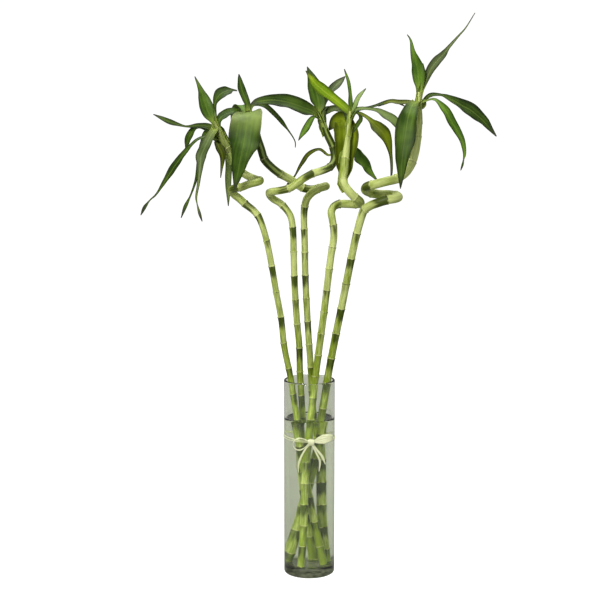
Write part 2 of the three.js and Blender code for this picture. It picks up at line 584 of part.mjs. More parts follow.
const canes = CANES.map((cane) => ({ ...cane, curve: curveThrough(cane.path.map(vector)) }));
addMesh("vase", vaseSolid(), "glass");
addMesh("water", waterSolid(canes.map(waterChannel)), "water");
addMesh("raffia_tie", tieSolid(), "raffia");
for (const cane of canes) {
  addMesh(cane.name, caneSolid(cane), "cane");
}
for (const leaf of leafSolids(placeLeaves(canes), canes)) {
  addMesh(leaf.name, leaf.solid, leaf.tone);
}

export default group;
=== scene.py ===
"""Spiral lucky bamboo in a glass vase: its finishes and fine shapes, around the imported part.

Metres, +Z up, origin at the centre of the vase's underside. The tables give millimetres, as the
part's source does, and MM turns them into metres where a mesh is made.
"""

import math
import random

import bpy
import numpy as np
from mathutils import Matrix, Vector


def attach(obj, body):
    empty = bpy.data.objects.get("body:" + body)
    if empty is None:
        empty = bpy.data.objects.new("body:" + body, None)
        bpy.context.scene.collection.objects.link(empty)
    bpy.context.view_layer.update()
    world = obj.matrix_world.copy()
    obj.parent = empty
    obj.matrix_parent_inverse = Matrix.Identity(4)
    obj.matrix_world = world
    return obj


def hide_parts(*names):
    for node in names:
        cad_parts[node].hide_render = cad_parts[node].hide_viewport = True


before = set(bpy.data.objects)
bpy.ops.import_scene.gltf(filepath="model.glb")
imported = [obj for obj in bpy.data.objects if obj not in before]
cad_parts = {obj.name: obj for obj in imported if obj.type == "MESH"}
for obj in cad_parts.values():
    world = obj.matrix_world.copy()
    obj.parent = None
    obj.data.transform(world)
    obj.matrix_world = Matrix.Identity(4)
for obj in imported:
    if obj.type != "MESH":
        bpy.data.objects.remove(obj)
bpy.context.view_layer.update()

MM = 0.001
GAP = 0.3

# Vase and water
VASE_RADIUS = 32.5
VASE_HEIGHT = 254
VASE_WALL = 2.8
VASE_FLOOR = 12
VASE_HEEL = 3
VASE_COVE = 2
VASE_SIDES = 144
WATER_LEVEL = 203
WATER_OVERLAP = 0.15
MENISCUS_RISE = 2.2
MENISCUS_REACH = 4.5
MENISCUS_FALLS = 3
MENISCUS_STEPS = (0, 0.3, 0.7, 1.2, 1.9, 2.8, 4, 6, 9)
EDGE_HOLD = 1.5
FACE_RING = 10

# Canes
CANE_SIDES = 28
CANE_STEP = 3
COIL_START = 440
COIL_FULL = 500
TIP_TAPER = 36
TIP_SHARE = 0.36
RING_RIDGE = 0.62
RING_HALF = 0.75
RING_SWELL = 0.22
RING_END_CLEAR = 30
SHOOT_LENGTH = 115
SHOOT_FULL = 80
RING_STEPS = (-4, -2.6, -1.7, -1.1, -0.7, -0.4, -0.15, 0, 0.15, 0.4, 0.7, 1.1, 1.7, 2.6, 4)
RING_CLEAR = 0.8
SAMPLE_GAP = 0.05
FOOT_SAMPLES = 40
SWELL_BELOW = 2
SWELL_HALF = 2.4
FAR_BELOW = 99

# Cane skin. A dark patch is PATCH_SHORT of PATCH_LENGTH long when faint and PATCH_GROW more when full,
# and holds its depth for PATCH_HOLD of that. AGE_LOW is how ripe the skin is at the coil, AGE_RISE how
# much riper it is at the lower of the AGE_HEIGHTS than at the upper, and AGE_SPREAD how much one joint
# may differ.
PATCH_LENGTH = 20
PATCH_SHORT = 0.55
PATCH_GROW = 0.6
PATCH_HOLD = 0.3
PATCH_DEFAULT = 0.1
AGE_LOW = 0.25
AGE_RISE = 0.65
AGE_SPREAD = 0.28
AGE_HEIGHTS = (250, 420)

# Leaves. A sheath clasps its cane for CLASP_HOLD of its length and narrows to CLASP_NARROWS over
# CLASP_RUN. A blade runs free from FOOT_CLEAR on, or from FOOT_CLEAR_SHARE of the sheath's radius, and
# its edges ripple by RIPPLE of its width.
BLADE_STEP = 2
BLADE_POINTS = 17
LEAF_EDGE = 0.45
LEAF_RIB = 1.0
LEAF_KEEL = 0.11
LEAF_WAVE = 0.05
LEAF_WAVES = 2.5
WAVE_BETWEEN = 1.7
WAVE_ACROSS = 2
SHEATH_LENGTH = 13
SHEATH_WRAP = 2.1
SHEATH_PROUD = 0.45
SHEATH_OPENING = 12
CLASP_HOLD = 0.6
CLASP_NARROWS = 0.6
CLASP_RUN = 20
FOOT_CLEAR = 9.0
FOOT_CLEAR_SHARE = 1.6
REST_STEP = 5
REST_POINTS = 6
BLADE_RINGS = 24
STEADY_SHARE = 0.3
RIB_THINS = 0.5
RIPPLE = 0.014
RIPPLE_LEFT = 2.6
RIPPLE_RIGHT = 3.1
RIPPLE_PHASE = 6
# How far along the blade the painted fold highlight spreads, as a share of its length.
HIGHLIGHT_REACH = 0.14

# Raffia tie
TIE_HEIGHT = 180
TIE_SLOPE = -0.07
TIE_WIDTH = 1.5
TURN_POINTS = 90
TURN_CLEAR = 0.45
TURN_APART = 0.35
TURN_EDGE = 0.3
TURN_PLEAT = 0.16
TURN_VARIES = 0.15
STRIP_POINTS = 15
STRIP_RINGS = 12
STRIP_STEP = 1.2
STRIP_THICK = 0.4
STRIP_EDGE_SHARE = 0.8
STRIP_PLEAT = 0.09
KNOT_CENTRE = (2, -36.6, 180)
KNOT_HALF = (3.4, 3.1, 3.9)

# Camera: its place, and how far down it looks in degrees. CLIP_END is in metres, past the floor.
CAMERA_PLACE = (-12, -1900, 640)
CAMERA_TILT = 8.5
CAMERA_LENS = 91.08
SENSOR = 36
CLIP_END = 60

# Floor and lamps, in metres. The floor lies just under the vase, so that the two share no face. Each
# lamp has its name, place, the height on the vase's axis that it faces, its size, watts and colour.
FLOOR_REACH = 14
FLOOR_LEVEL = -0.0006
LAMPS = (
    ("key", (-0.9, -1.8, 1.5), 0.42, (0.8, 0.8), 46, "#FFFDF6"),
    ("fill", (1.5, -1.2, 1.0), 0.4, (1.0, 1.4), 9, "#FFFFFF"),
    ("top", (0.1, 0.5, 2.2), 0.3, (2.0, 1.6), 40, "#FFFFFF"),
)

# Centre lines start 4 mm below the vase's floor and run up through the coil to the crown. A cane is
# cut off GAP above the floor. first is the arc length of the lowest joint ring, pitch the length of a
# cane joint, and shades how dark the green patch below each ring is, from the lowest ring up. moved
# shifts single rings, shoot is how dark the young shoot at the top is, and taper the length over which
# the tip draws in.
CANES = {
    "stalk_1": dict(
        radius=3.9, coil_radius=4.9, first=29.5, pitch=33.5, moved={14: -11}, shoot=0.6,
        shades=(0.5, 0.75, 0.9, 0.8, 0.9, 0.8, 0.7, 0.8, 0.4, 1, 0.3, 0.85, 0.5, 0.6, 0.9, 0.8, 0.3,
                0.4, 0.3),
        path=((15, -3, 8), (5, -6, 70), (-6, -9, 142), (-20, -2, 231), (-25, 0, 261), (-32, 1, 296),
              (-36, 0, 333), (-42, -2, 366), (-47, -5, 397), (-53, -9, 429), (-58, -10, 448),
              (-64, -9, 463), (-71, -7, 471), (-79, -5, 477), (-88, -4, 485), (-95, -7, 491),
              (-97, -13, 496), (-93, -20, 499), (-84, -26, 501), (-74, -28, 505), (-65, -25, 507),
              (-62, -17, 508), (-66, -10, 509), (-75, -3, 512), (-85, 1, 518), (-95, 2, 531),
              (-104, 0, 548), (-112, -3, 566), (-119, -4, 581)),
    ),
    "stalk_2": dict(
        radius=4.1, coil_radius=5.1, first=21.5, pitch=29.7, moved={18: -8}, shoot=0.95,
        shades=(0.6, 0.9, 0.7, 1, 0.9, 0.5, 0.9, 0.8, 0.8, 0.2, 0.8, 0.1, 0.95, 0.5, 0.6, 0.7, 0.15,
                0.2, 0.9, 0.3, 0.5, 0.4),
        path=((15, 8, 8), (11, 10, 65), (9, 13, 158), (3, 15, 237), (2, 16, 263), (-1, 17, 306),
              (-5, 18, 379), (-6, 18, 427), (-7, 17, 461), (-6, 15, 473), (-3, 11, 484), (4, 9, 492),
              (13, 10, 497), (20, 15, 499), (20, 22, 498), (13, 27, 496), (2, 28, 494), (-8, 26, 496),
              (-16, 21, 501), (-25, 15, 508), (-37, 8, 515), (-47, 3, 523), (-56, 0, 533),
              (-61, 0, 548), (-67, 0, 565), (-77, 0, 594)),
    ),
    "stalk_3": dict(
        radius=4.1, coil_radius=4.7, first=7, pitch=31, moved={18: 5}, shoot=1,
        shades=(0.6, 0.5, 1, 0.6, 0.6, 0.7, 0.8, 1, 0.4, 1, 0.5, 0.3, 1, 0.1, 0.9, 0.4, 0.15, 0.7,
                0.8, 0.3, 0.9),
        path=((4, 17, 8), (-6, 13, 137), (-7, 12, 165), (-10, 10, 225), (-12, 9, 258), (-13, 8, 297),
              (-16, 7, 329), (-19, 6, 381), (-20, 5, 417), (-21, 5, 446), (-24, 7, 462), (-30, 9, 471),
              (-37, 10, 478), (-45, 8, 483), (-50, 1, 489), (-49, -6, 493), (-42, -14, 495),
              (-32, -19, 497), (-23, -22, 500), (-16, -23, 505), (-8, -23, 511), (3, -22, 517),
              (13, -19, 520), (22, -13, 523), (28, -5, 527), (31, 2, 535), (29, 6, 549), (23, 6, 562),
              (17, 5, 577), (10, 5, 592)),
    ),
    "stalk_4": dict(
        radius=4.4, coil_radius=5.3, first=5.4, pitch=27.6, moved={17: 7}, taper=75,
        shades=(1, 0.85, 0.5, 0.8, 0.4, 0.6, 0.5, 0.8, 0.5, 0.1, 0.3, 0.4, 0.1, 0.4, 0.1, 0.15, 0.5,
                0.6, 0.1, 0.1, 0.1, 0.05, 0.05),
        path=((-10, -19, 8), (-7, -20, 61), (-4, -20, 145), (4, -18, 230), (7, -16, 256),
              (14, -16, 311), (18, -16, 341), (23, -16, 384), (27, -16, 416), (30, -16, 435),
              (30, -16, 449), (28, -15, 461), (27, -12, 469), (30, -8, 475), (37, -4, 478),
              (48, -2, 478), (57, -4, 478), (63, -10, 479), (62, -18, 483), (56, -24, 488),
              (49, -27, 495), (43, -26, 503), (41, -22, 512), (42.5, -18, 522), (44, -15, 534),
              (47, -11, 558), (50, -8, 593)),
    ),
    "stalk_5": dict(
        radius=4.7, coil_radius=5.6, first=16, pitch=33, moved={},
        shades=(0.7, 0.95, 0.6, 0.6, 0.7, 1, 0.7, 0.9, 1, 0.8, 1, 0.2, 0.8, 0.5, 0.3, 1, 0.05, 0.2,
                0.8, 0.1, 0.1, 0.1),
        path=((-19, 13, 8), (-9, 8, 66), (0, 1, 122), (9, -3, 169), (19, -6, 230), (23, -7, 256),
              (29, -9, 290), (35, -12, 322), (41, -16, 353), (47, -20, 386), (55, -26, 428),
              (60, -29, 450), (64, -31, 465), (67, -34, 473), (74, -40, 479), (83, -46, 483),
              (95, -48, 487), (104, -43, 488), (109, -34, 489), (107, -24, 490), (98, -17, 491),
              (87, -14, 491), (76, -16, 493), (69, -24, 497), (70, -34, 502), (78, -42, 505),
              (92, -46, 509), (105, -42, 512), (116, -35, 518), (123, -28, 526), (128, -23, 538),
              (131, -19, 551), (133, -16, 571), (135, -11, 617)),
    ),
}

# Leaves of each crown. tone names a leaf's green. start is how far below the
# cane's tip the blade leaves it and foot its width there. rib lists the midrib's points from the tip
# of the cane, each with the blade's width at it. face is the way the blade's upper side looks, keel
# how steeply its halves fold up, tint how much lighter than its tone it is, or darker below 0, and
# roll how many degrees it turns on its midrib at shares of its length. wrap is how far its sheath
# reaches round the cane each way, in radians, opening the length over which the sheath opens out, and
# highlight_at the share of its length where it folds over and shows a painted pale highlight. skin is
# the finish of a blade whose green differs from its tone's.
LEAVES = {
    "stalk_1": (
        dict(name="upright", tone="dark", start=2, foot=11, face=(0.2, -1, 0.2), tint=0.25,
             rib=((-4, 2, 6, 16), (-9, 4, 17, 17.5), (-13, 7, 28, 14), (-16, 10, 37, 7.5),
                  (-24, 14, 55, 1))),
        dict(name="arched", tone="mid", start=7, foot=4, face=(0.2, -0.7, 0.7), tint=-1,
             rib=((1, 6, 20, 4.5), (3, 9, 27, 9), (9, 15, 34, 16), (16, 21, 37, 14),
                  (22, 27, 38, 4.5), (28, 31, 37, 2))),
        dict(name="right", tone="mid", start=13, foot=6, face=(-0.3, -0.8, 0.6), tint=-0.6,
             rib=((6, 4, 0, 8), (12, 10, 7, 14), (19, 16, 10, 14.5), (27, 22, 13, 10),
                  (33, 26, 15, 2))),
        dict(name="left", tone="dark", start=16, foot=7, face=(0, -0.8, 0.6), tint=-0.9,
             rib=((-7, 4, -7, 9), (-20, 10, -6, 7.5), (-36, 15, -7, 3), (-45, 17, -5, 5),
                  (-55, 19, -2, 7.5), (-64, 20, 2, 6), (-77, 22, 8, 1))),
        dict(name="folded", tone="mid", start=22, foot=6, face=(-0.3, -0.7, 0.6), tint=-0.7,
             rib=((-13, 8, -7, 9), (-22, 14, -8, 9), (-28, 19, -14, 12), (-33, 22, -22, 11.5),
                  (-37, 26, -36, 2))),
        dict(name="long_droop", tone="mid", start=28, foot=6, face=(-0.6, -0.6, 0.5), tint=-1,
             rib=((-7, -6, -19, 6.5), (-19, -12, -22, 6), (-25, -15, -27, 6), (-32, -18, -35, 10.5),
                  (-46, -23, -53, 14), (-59, -26, -73, 8.5), (-71, -26, -90, 3.5),
                  (-78, -25, -96, 2.5), (-85, -24, -106, 7), (-90, -23, -115, 1.5))),
        dict(name="front_droop", tone="dark", start=9, foot=8, face=(-0.2, -0.9, 0.4), tint=-0.6,
             skin="grey",
             rib=((-2, -10, -15, 10.5), (-10, -26, -32, 13.5), (-14, -31, -41, 13.5),
                  (-15, -34, -52, 8.5), (-17, -39, -74, 4), (-20, -41, -92, 2.5),
                  (-19, -41, -99, 1.5), (-16, -41, -111, 3.5), (-13, -40, -121, 1))),
        dict(name="back_droop", tone="dark", start=34, foot=7, face=(-0.4, -0.8, 0.4),
             rib=((-8, 12, -15, 10.5), (-14, 18, -30, 11), (-18, 22, -47, 10), (-25, 27, -76, 4),
                  (-32, 27, -95, 2.5), (-38, 26, -108, 5.5), (-44, 24, -123, 1))),
        dict(name="down", tone="olive", start=38, foot=7, face=(0.4, -0.8, 0.3), tint=-0.6,
             rib=((4, -8, -27, 8), (8, -12, -34, 11), (11, -16, -42, 8), (10, -19, -59, 3),
                  (9, -20, -69, 1))),
        dict(name="short", tone="dark", start=24, foot=7, face=(0.5, -0.6, 0.5),
             rib=((8, 10, -11, 10.5), (13, 16, -24, 11.5), (16, 18, -34, 2))),
        dict(name="hanging", tone="grey", start=44, foot=5, face=(0.2, -1, 0.2), tint=0.2,
             rib=((14, 12, -25, 5), (16, 20, -37, 7), (17, 24, -49, 9), (16, 28, -80, 7.5),
                  (16, 28, -108, 1))),
    ),
    "stalk_2": (
        dict(name="spear", tone="bright", start=0, foot=6, face=(0.3, -1, 0.1), tint=-0.8, skin="mid",
             rib=((0, 2, 6, 7), (-3, 4, 15, 9), (-7, 6, 24, 10), (-10, 8, 38, 5.5), (-11, 8, 45, 1))),
        dict(name="broad", tone="dark", start=8, foot=12, face=(0, -0.8, 0.6), tint=0.05,
             roll=((0, 0), (0.25, -15), (0.6, 0)), highlight_at=0.27,
             rib=((1, -14, -2, 24), (1, -30, -5, 36), (1, -40, -12, 40), (0, -45, -20, 40),
                  (-3, -50, -39, 37), (-5, -51, -47, 28), (-10, -50, -71, 15.5),
                  (-15, -46, -95, 1.5))),
        dict(name="right", tone="dark", start=5, foot=5, face=(0.3, -0.7, 0.6), tint=-0.7,
             rib=((5, 6, 6, 5), (20, 12, 6, 7.5), (33, 17, -5, 8.5), (40, 20, -13, 8),
                  (50, 23, -25, 2.5), (59, 24, -40, 1.5), (59, 24, -47, 1))),
        dict(name="back", tone="mid", start=16, foot=8, face=(-0.2, 0.6, 0.8),
             rib=((-10, 22, 6, 14), (-14, 42, -6, 18), (-14, 52, -34, 13), (-10, 54, -66, 1.5))),
    ),
    "stalk_3": (
        dict(name="left", tone="dark", start=6, foot=9, face=(0, -0.8, 0.6), tint=-0.6,
             rib=((-8, -7, 2, 16), (-16, -11, 5, 21), (-36, -18, 12, 22), (-56, -21, 15, 15.5),
                  (-75, -22, 13, 9.5), (-83, -22, 10, 1.5))),
        dict(name="upright", tone="dark", start=1, foot=9, face=(0.1, -1, 0.1), tint=0.2,
             rib=((2, 2, 9, 15), (0, 4, 19, 21.5), (-3, 7, 30, 19), (-7, 10, 41, 12),
                  (-13, 14, 56, 1))),
        dict(name="upper_right", tone="grey", start=10, foot=6, face=(-0.4, -0.7, 0.5), tint=-0.9,
             rib=((8, 7, 11, 8), (14, 14, 22, 11.5), (21, 20, 30, 13.5), (27, 25, 36, 12),
                  (35, 31, 44, 1.5))),
        dict(name="down_left", tone="olive", start=15, foot=5, face=(-0.4, -0.8, 0.5), skin="mid",
             tint=-0.2,
             rib=((-5, -11, -6, 6.5), (-13, -22, -18, 10.5), (-18, -26, -25, 7.5),
                  (-24, -30, -34, 1))),
        dict(name="small_right", tone="grey", start=18, foot=6, face=(0.1, -0.7, 0.7),
             rib=((9, 13, 2, 7), (21, 23, 3, 9.5), (34, 31, -1, 2.5))),
        dict(name="curled", tone="olive", start=54, foot=4, face=(-0.4, -0.5, 0.7), tint=-0.9, wrap=1.2,
             rib=((14, 5, -54, 3.5), (3, 10, -47, 4.5), (-11, 16, -54, 11), (-21, 20, -68, 6.5),
                  (-29, 21, -82, 3.5), (-37, 21, -92, 5.5), (-39, 21, -97, 1.5))),
    ),
    "stalk_4": (
        dict(name="young", tone="bright", start=3, foot=8, face=(-0.3, -0.8, 0.5), tint=0.15,
             rib=((-7, -3, 5, 11), (-18, -6, 14, 11.5), (-35, -12, 27, 14.5), (-43, -15, 34, 12),
                  (-49, -17, 42, 6), (-55, -20, 50, 1))),
        dict(name="thin_upright", tone="mid", start=0, foot=5, face=(0.7, -0.7, 0), tint=0.1,
             rib=((0, 2, 9, 8), (-1, 8, 29, 6), (-3, 11, 39, 5.5), (-7, 15, 52, 1.5))),
        dict(name="pale", tone="grey", start=8, foot=5, face=(-0.5, -0.7, 0.4), tint=0.9,
             rib=((6, 4, 7, 8), (12, 9, 19, 6.5), (20, 15, 28, 1.5))),
        dict(name="thin_right", tone="dark", start=12, foot=5, face=(0, -0.7, 0.7), tint=-0.8,
             rib=((6, 6, 1, 7), (23, 15, 4, 5), (33, 18, 7, 4), (49, 22, 12, 5.5),
                  (57, 23, 12, 5.5), (69, 24, 6, 1.5))),
        dict(name="light_right", tone="bright", start=14, foot=5, face=(0.1, -0.8, 0.6), tint=0.25,
             skin="grey",
             rib=((8, -4, 2, 6.5), (26, -12, 3, 4.5), (35, -15, 1, 7), (43, -18, -4, 11),
                  (51, -20, -9, 13), (58, -22, -17, 10), (68, -23, -35, 1))),
        dict(name="olive_droop", tone="olive", start=18, foot=5, face=(0.3, -0.8, 0.5),
             rib=((6, -4, -2, 6), (19, -12, -6, 5.5), (25, -16, -11, 7.5), (32, -20, -18, 16.5),
                  (39, -24, -25, 19), (44, -27, -34, 13.5), (49, -31, -53, 4.5), (50, -32, -73, 3),
                  (49, -32, -81, 1))),
        dict(name="low_right", tone="dark", start=52, foot=7, face=(0.4, -0.7, 0.6), wrap=1,
             tint=1, rib=((5, 10, -50, 14), (11, 15, -58, 22), (18, 19, -65, 19), (24, 22, -74, 13),
                  (29, 24, -80, 7.5), (37, 26, -89, 1.5))),
        dict(name="small_left", tone="grey", start=18, foot=6, face=(0, -0.7, 0.7), tint=-0.6,
             rib=((-7, 10, 2, 8), (-23, 20, 2, 11.5), (-29, 23, -2, 7), (-34, 25, -6, 1.5))),
        dict(name="hugging", tone="olive", start=86, foot=9, keel=0.25, face=(0, -1, 0.1), tint=1,
             opening=1,
             rib=((-7, -1, -75, 17), (-6, 1, -60, 22), (-5, 4, -35, 29), (-5, 6, -23, 28.5),
                  (-7, 8, -14, 23.5), (-10, 14, -10, 18.5), (-16, 20, -12, 15),
                  (-26, 28, -24, 1.5))),
        dict(name="small_dark", tone="dark", start=16, foot=4, face=(0.4, -0.8, 0.3),
             rib=((7, -4, 0, 4.5), (13, -10, -8, 5.5), (9, -12, -15, 5.5), (3, -13, -26, 1))),
    ),
    "stalk_5": (
        dict(name="spear", tone="mid", start=0, foot=8, face=(0.2, -1, 0.1), tint=0.2,
             rib=((0, 1, 5, 10), (-1, 2, 17, 15.5), (-2, 4, 28, 16), (-5, 5, 39, 11.5),
                  (-8, 6, 49, 6.5), (-11, 8, 64, 2.5), (-15, 9, 70, 1))),
        dict(name="small", tone="dark", start=3, foot=5, face=(0.5, -0.8, 0),
             rib=((4, 4, 10, 7.5), (5, 6, 19, 9), (5, 10, 35, 1))),
        dict(name="upper_right", tone="mid", start=7, foot=5, face=(-0.5, -0.7, 0.4), tint=-0.9,
             skin="grey",
             rib=((6, 4, 7, 6.5), (16, 10, 29, 13), (23, 13, 38, 14), (31, 15, 46, 11),
                  (37, 17, 54, 6), (49, 20, 68, 3), (58, 22, 78, 2), (70, 25, 97, 1))),
        dict(name="right", tone="dark", start=20, foot=5, face=(0.1, -0.7, 0.7), tint=-0.55,
             rib=((4, 3, -17, 9), (8, 7, -9, 5), (15, 11, -4, 6), (29, 19, -4, 4.5),
                  (36, 22, -7, 9.5), (57, 28, -18, 19.5), (68, 30, -24, 22.5), (85, 34, -38, 16),
                  (93, 36, -47, 8.5), (101, 37, -56, 1.5))),
        dict(name="light_right", tone="bright", start=14, foot=5, face=(0.4, -0.8, 0.4), tint=0.15,
             skin="mid",
             rib=((6, -3, -12, 5), (18, -12, -9, 5), (31, -20, -23, 13), (37, -23, -34, 12.5),
                  (50, -27, -57, 9), (54, -27, -75, 4.5), (53, -27, -82, 2), (52, -26, -88, 3),
                  (50, -25, -95, 1))),
        dict(name="front_droop", tone="dark", start=13, foot=8, face=(-0.1, -0.8, 0.6), tint=-0.3,
             rib=((-7, -11, -13, 12), (-14, -32, -25, 20), (-17, -38, -36, 24.5),
                  (-19, -42, -49, 25.5), (-23, -47, -77, 17.5), (-24, -47, -91, 11.5),
                  (-25, -45, -116, 1))),
        dict(name="left", tone="olive", start=26, foot=5, face=(0, -0.7, 0.7), tint=-0.5, wrap=1.2,
             rib=((-8, 5, -14, 7), (-25, 16, -13, 8), (-35, 20, -12, 7), (-49, 24, -18, 1.5))),
        dict(name="back", tone="mid", start=32, foot=7, face=(0.2, 0.6, 0.8), wrap=1,
             rib=((-6, 20, -25, 11), (-15, 38, -37, 15), (-20, 49, -58, 12), (-22, 52, -86, 1.5))),
    ),
}

# Raffia strips from the knot: two loops, then three tails. across is the way a strip's width runs,
# widths its widths along it, creases how many lengthwise creases wave its width, and path its points
# from the knot's centre.
RAFFIA = (
    dict(across=(0, 1, 0.2), widths=(1.8, 2.8, 3.2, 2.8, 1.8), creases=2,
         path=((-3, 0, 1), (-9, -1, 4.5), (-16, -2, 6), (-21.5, -3, 2.5), (-22.5, -3, -3),
               (-19, -2, -8), (-14, -2, -9), (-8, -1, -6), (-3, 0, -1))),
    dict(across=(0, 0, 1), widths=(2.5, 8, 12, 10, 6, 10, 12, 8, 2.5), creases=4,
         path=((3, 0, 1), (11, -4, 4), (20, -6, 6.5), (26.5, -3, 7), (26.5, 1, 6.5), (20, 3, 5),
               (12, 2.6, 3), (3, 1, 1))),
    dict(across=(1, 0, 0.3), widths=(1.8, 2.4, 2.6, 1), creases=2,
         path=((-2, 0, -2), (-7, -1, -8), (-13, -1, -19), (-16, 0, -29), (-16, 2, -39))),
    dict(across=(1, 0, -0.3), widths=(1.8, 2.6, 3, 1.2), creases=2,
         path=((2, 0, -2), (8, -1, -10), (14, -1, -18), (18, 0, -28))),
    dict(across=(1, -0.3, 0), widths=(1.8, 2.2, 2.6, 1), creases=2,
         path=((1, -1, -2), (7, -3, -14), (11, -2, -24), (10, -1, -37))),
)


def linear(code):
    """An sRGB hex colour as the linear RGBA that Blender's sockets take."""
    shares = [int(code[i:i + 2], 16) / 255 for i in (1, 3, 5)]
    return [s / 12.92 if s <= 0.04045 else ((s + 0.055) / 1.055) ** 2.4 for s in shares] + [1]


def add(tree, kind, inputs=None, out=0, **settings):
    """Adds a node with its settings and its sockets, values or links, and returns one output."""
    made = tree.nodes.new(kind)
    for key, value in settings.items():
        setattr(made, key, value)
    for key, value in (inputs or {}).items():
        if isinstance(value, bpy.types.NodeSocket):
            tree.links.new(value, made.inputs[key])
        else:
            made.inputs[key].default_value = value
    return made.outputs[out] if len(made.outputs) else made


def smooth(value, low, high):
    share = np.clip((np.asarray(value, float) - low) / (high - low), 0, 1)
    return share * share * (3 - 2 * share)


def mix(a, b, share):
    return a + (b - a) * share


def unit(vectors):
    vectors = np.asarray(vectors, float)
    return vectors / np.linalg.norm(vectors, axis=-1, keepdims=True)


class Line:
    """A centripetal Catmull-Rom curve through points, read by its arc length."""

    DENSE = 32
    NEAR = 0.6

    def __init__(self, points):
        points = np.asarray(points, float)
        ends = np.vstack([2 * points[0] - points[1], points, 2 * points[-1] - points[-2]])
        share = np.linspace(0, 1, self.DENSE, endpoint=False)[:, None]
        spans = []
        for before, here, there, after in zip(ends, ends[1:], ends[2:], ends[3:]):
            d0, d1, d2 = (
                math.sqrt(math.dist(a, b)) for a, b in ((before, here), (here, there), (there, after))
            )
            leave = ((here - before) / d0 - (there - before) / (d0 + d1)) * d1 + there - here
            reach = there - here - ((after - here) / (d1 + d2) - (after - there) / d2) * d1
            square = 3 * (there - here) - 2 * leave - reach
            cube = 2 * (here - there) + leave + reach
            spans.append(here + leave * share + square * share**2 + cube * share**3)
        self.dense = np.vstack([*spans, points[-1:]])
        steps = np.linalg.norm(np.diff(self.dense, axis=0), axis=1)
        self.run = np.concatenate([[0], np.cumsum(steps)])
        self.length = self.run[-1]

    def at(self, s):
        return np.stack([np.interp(s, self.run, self.dense[:, k]) for k in range(3)], axis=-1)

    def along(self, s):
        low = np.clip(np.asarray(s, float) - self.NEAR, 0, self.length)
        high = np.clip(np.asarray(s, float) + self.NEAR, 0, self.length)
        return unit(self.at(high) - self.at(low))


def rail_object(name, points, numbers, vectors=None, closed=False):
    """A line of points as a mesh of edges, with the attributes that its node tree reads."""
    count = len(points)
    edges = [(i, i + 1) for i in range(count - 1)] + ([(count - 1, 0)] if closed else [])
    mesh = bpy.data.meshes.new(name)
    mesh.from_pydata((np.asarray(points) * MM).tolist(), edges, [])
    for key, values in numbers.items():
        values = np.broadcast_to(np.asarray(values, np.float32), (count,))
        mesh.attributes.new(key, "FLOAT", "POINT").data.foreach_set("value", values.copy())
    for key, values in (vectors or {}).items():
        values = np.asarray(values, np.float32).ravel()
        mesh.attributes.new(key, "FLOAT_VECTOR", "POINT").data.foreach_set("vector", values)
    made = bpy.data.objects.new(name, mesh)
    bpy.context.scene.collection.objects.link(made)
    return made


def signed_volume(mesh):
    mesh.calc_loop_triangles()
    corners = np.empty(len(mesh.vertices) * 3)
    mesh.vertices.foreach_get("co", corners)
    corners = corners.reshape(-1, 3)
    faces = np.empty(len(mesh.loop_triangles) * 3, int)
    mesh.loop_triangles.foreach_get("vertices", faces)
    a, b, c = (corners[faces.reshape(-1, 3)[:, k]] for k in range(3))
    return np.einsum("ij,ij->", a, np.cross(b, c)) / 6


def grown(rail, tree, values):
    """Runs the tree on the rail with these named inputs and leaves the result as a plain mesh."""
    work = rail.modifiers.new(tree.name, "NODES")
    work.node_group = tree
    for item in tree.interface.items_tree:
        if item.item_type == "SOCKET" and item.in_out == "INPUT" and item.name in values:
            work[item.identifier] = values[item.name]
    graph = bpy.context.evaluated_depsgraph_get()
    mesh = bpy.data.meshes.new_from_object(rail.evaluated_get(graph), depsgraph=graph)
    mesh.name = rail.name
    rail.modifiers.remove(work)
    rail.data = mesh
    if signed_volume(mesh) < 0:
        mesh.flip_normals()
    return rail


def join(name, objects):
    """One object from several, keeping their attributes."""
    bpy.ops.object.select_all(action="DESELECT")
    for item in objects:
        item.select_set(True)
    bpy.context.view_layer.objects.active = objects[0]
    bpy.ops.object.join()
    objects[0].name = name
    objects[0].data.name = name
    return objects[0]


def new_tree(name, sizes):
    """An empty modifier tree with named inputs, and the outputs of its input node by name."""
    tree = bpy.data.node_groups.new(name, "GeometryNodeTree")
    tree.is_modifier = True
    tree.interface.new_socket("Geometry", in_out="INPUT", socket_type="NodeSocketGeometry")
    for key, kind in sizes.items():
        tree.interface.new_socket(key, in_out="INPUT", socket_type=kind)
    tree.interface.new_socket("Geometry", in_out="OUTPUT", socket_type="NodeSocketGeometry")
    given = {s.name: s for s in tree.nodes.new("NodeGroupInput").outputs}
    return tree, given


def finish_tree(tree, geometry, material):
    smoothed = add(tree, "GeometryNodeSetShadeSmooth", {0: geometry})
    real = add(tree, "GeometryNodeRealizeInstances", {0: smoothed})
    painted = add(tree, "GeometryNodeSetMaterial", {0: real, 2: material})
    add(tree, "NodeGroupOutput", {0: painted})


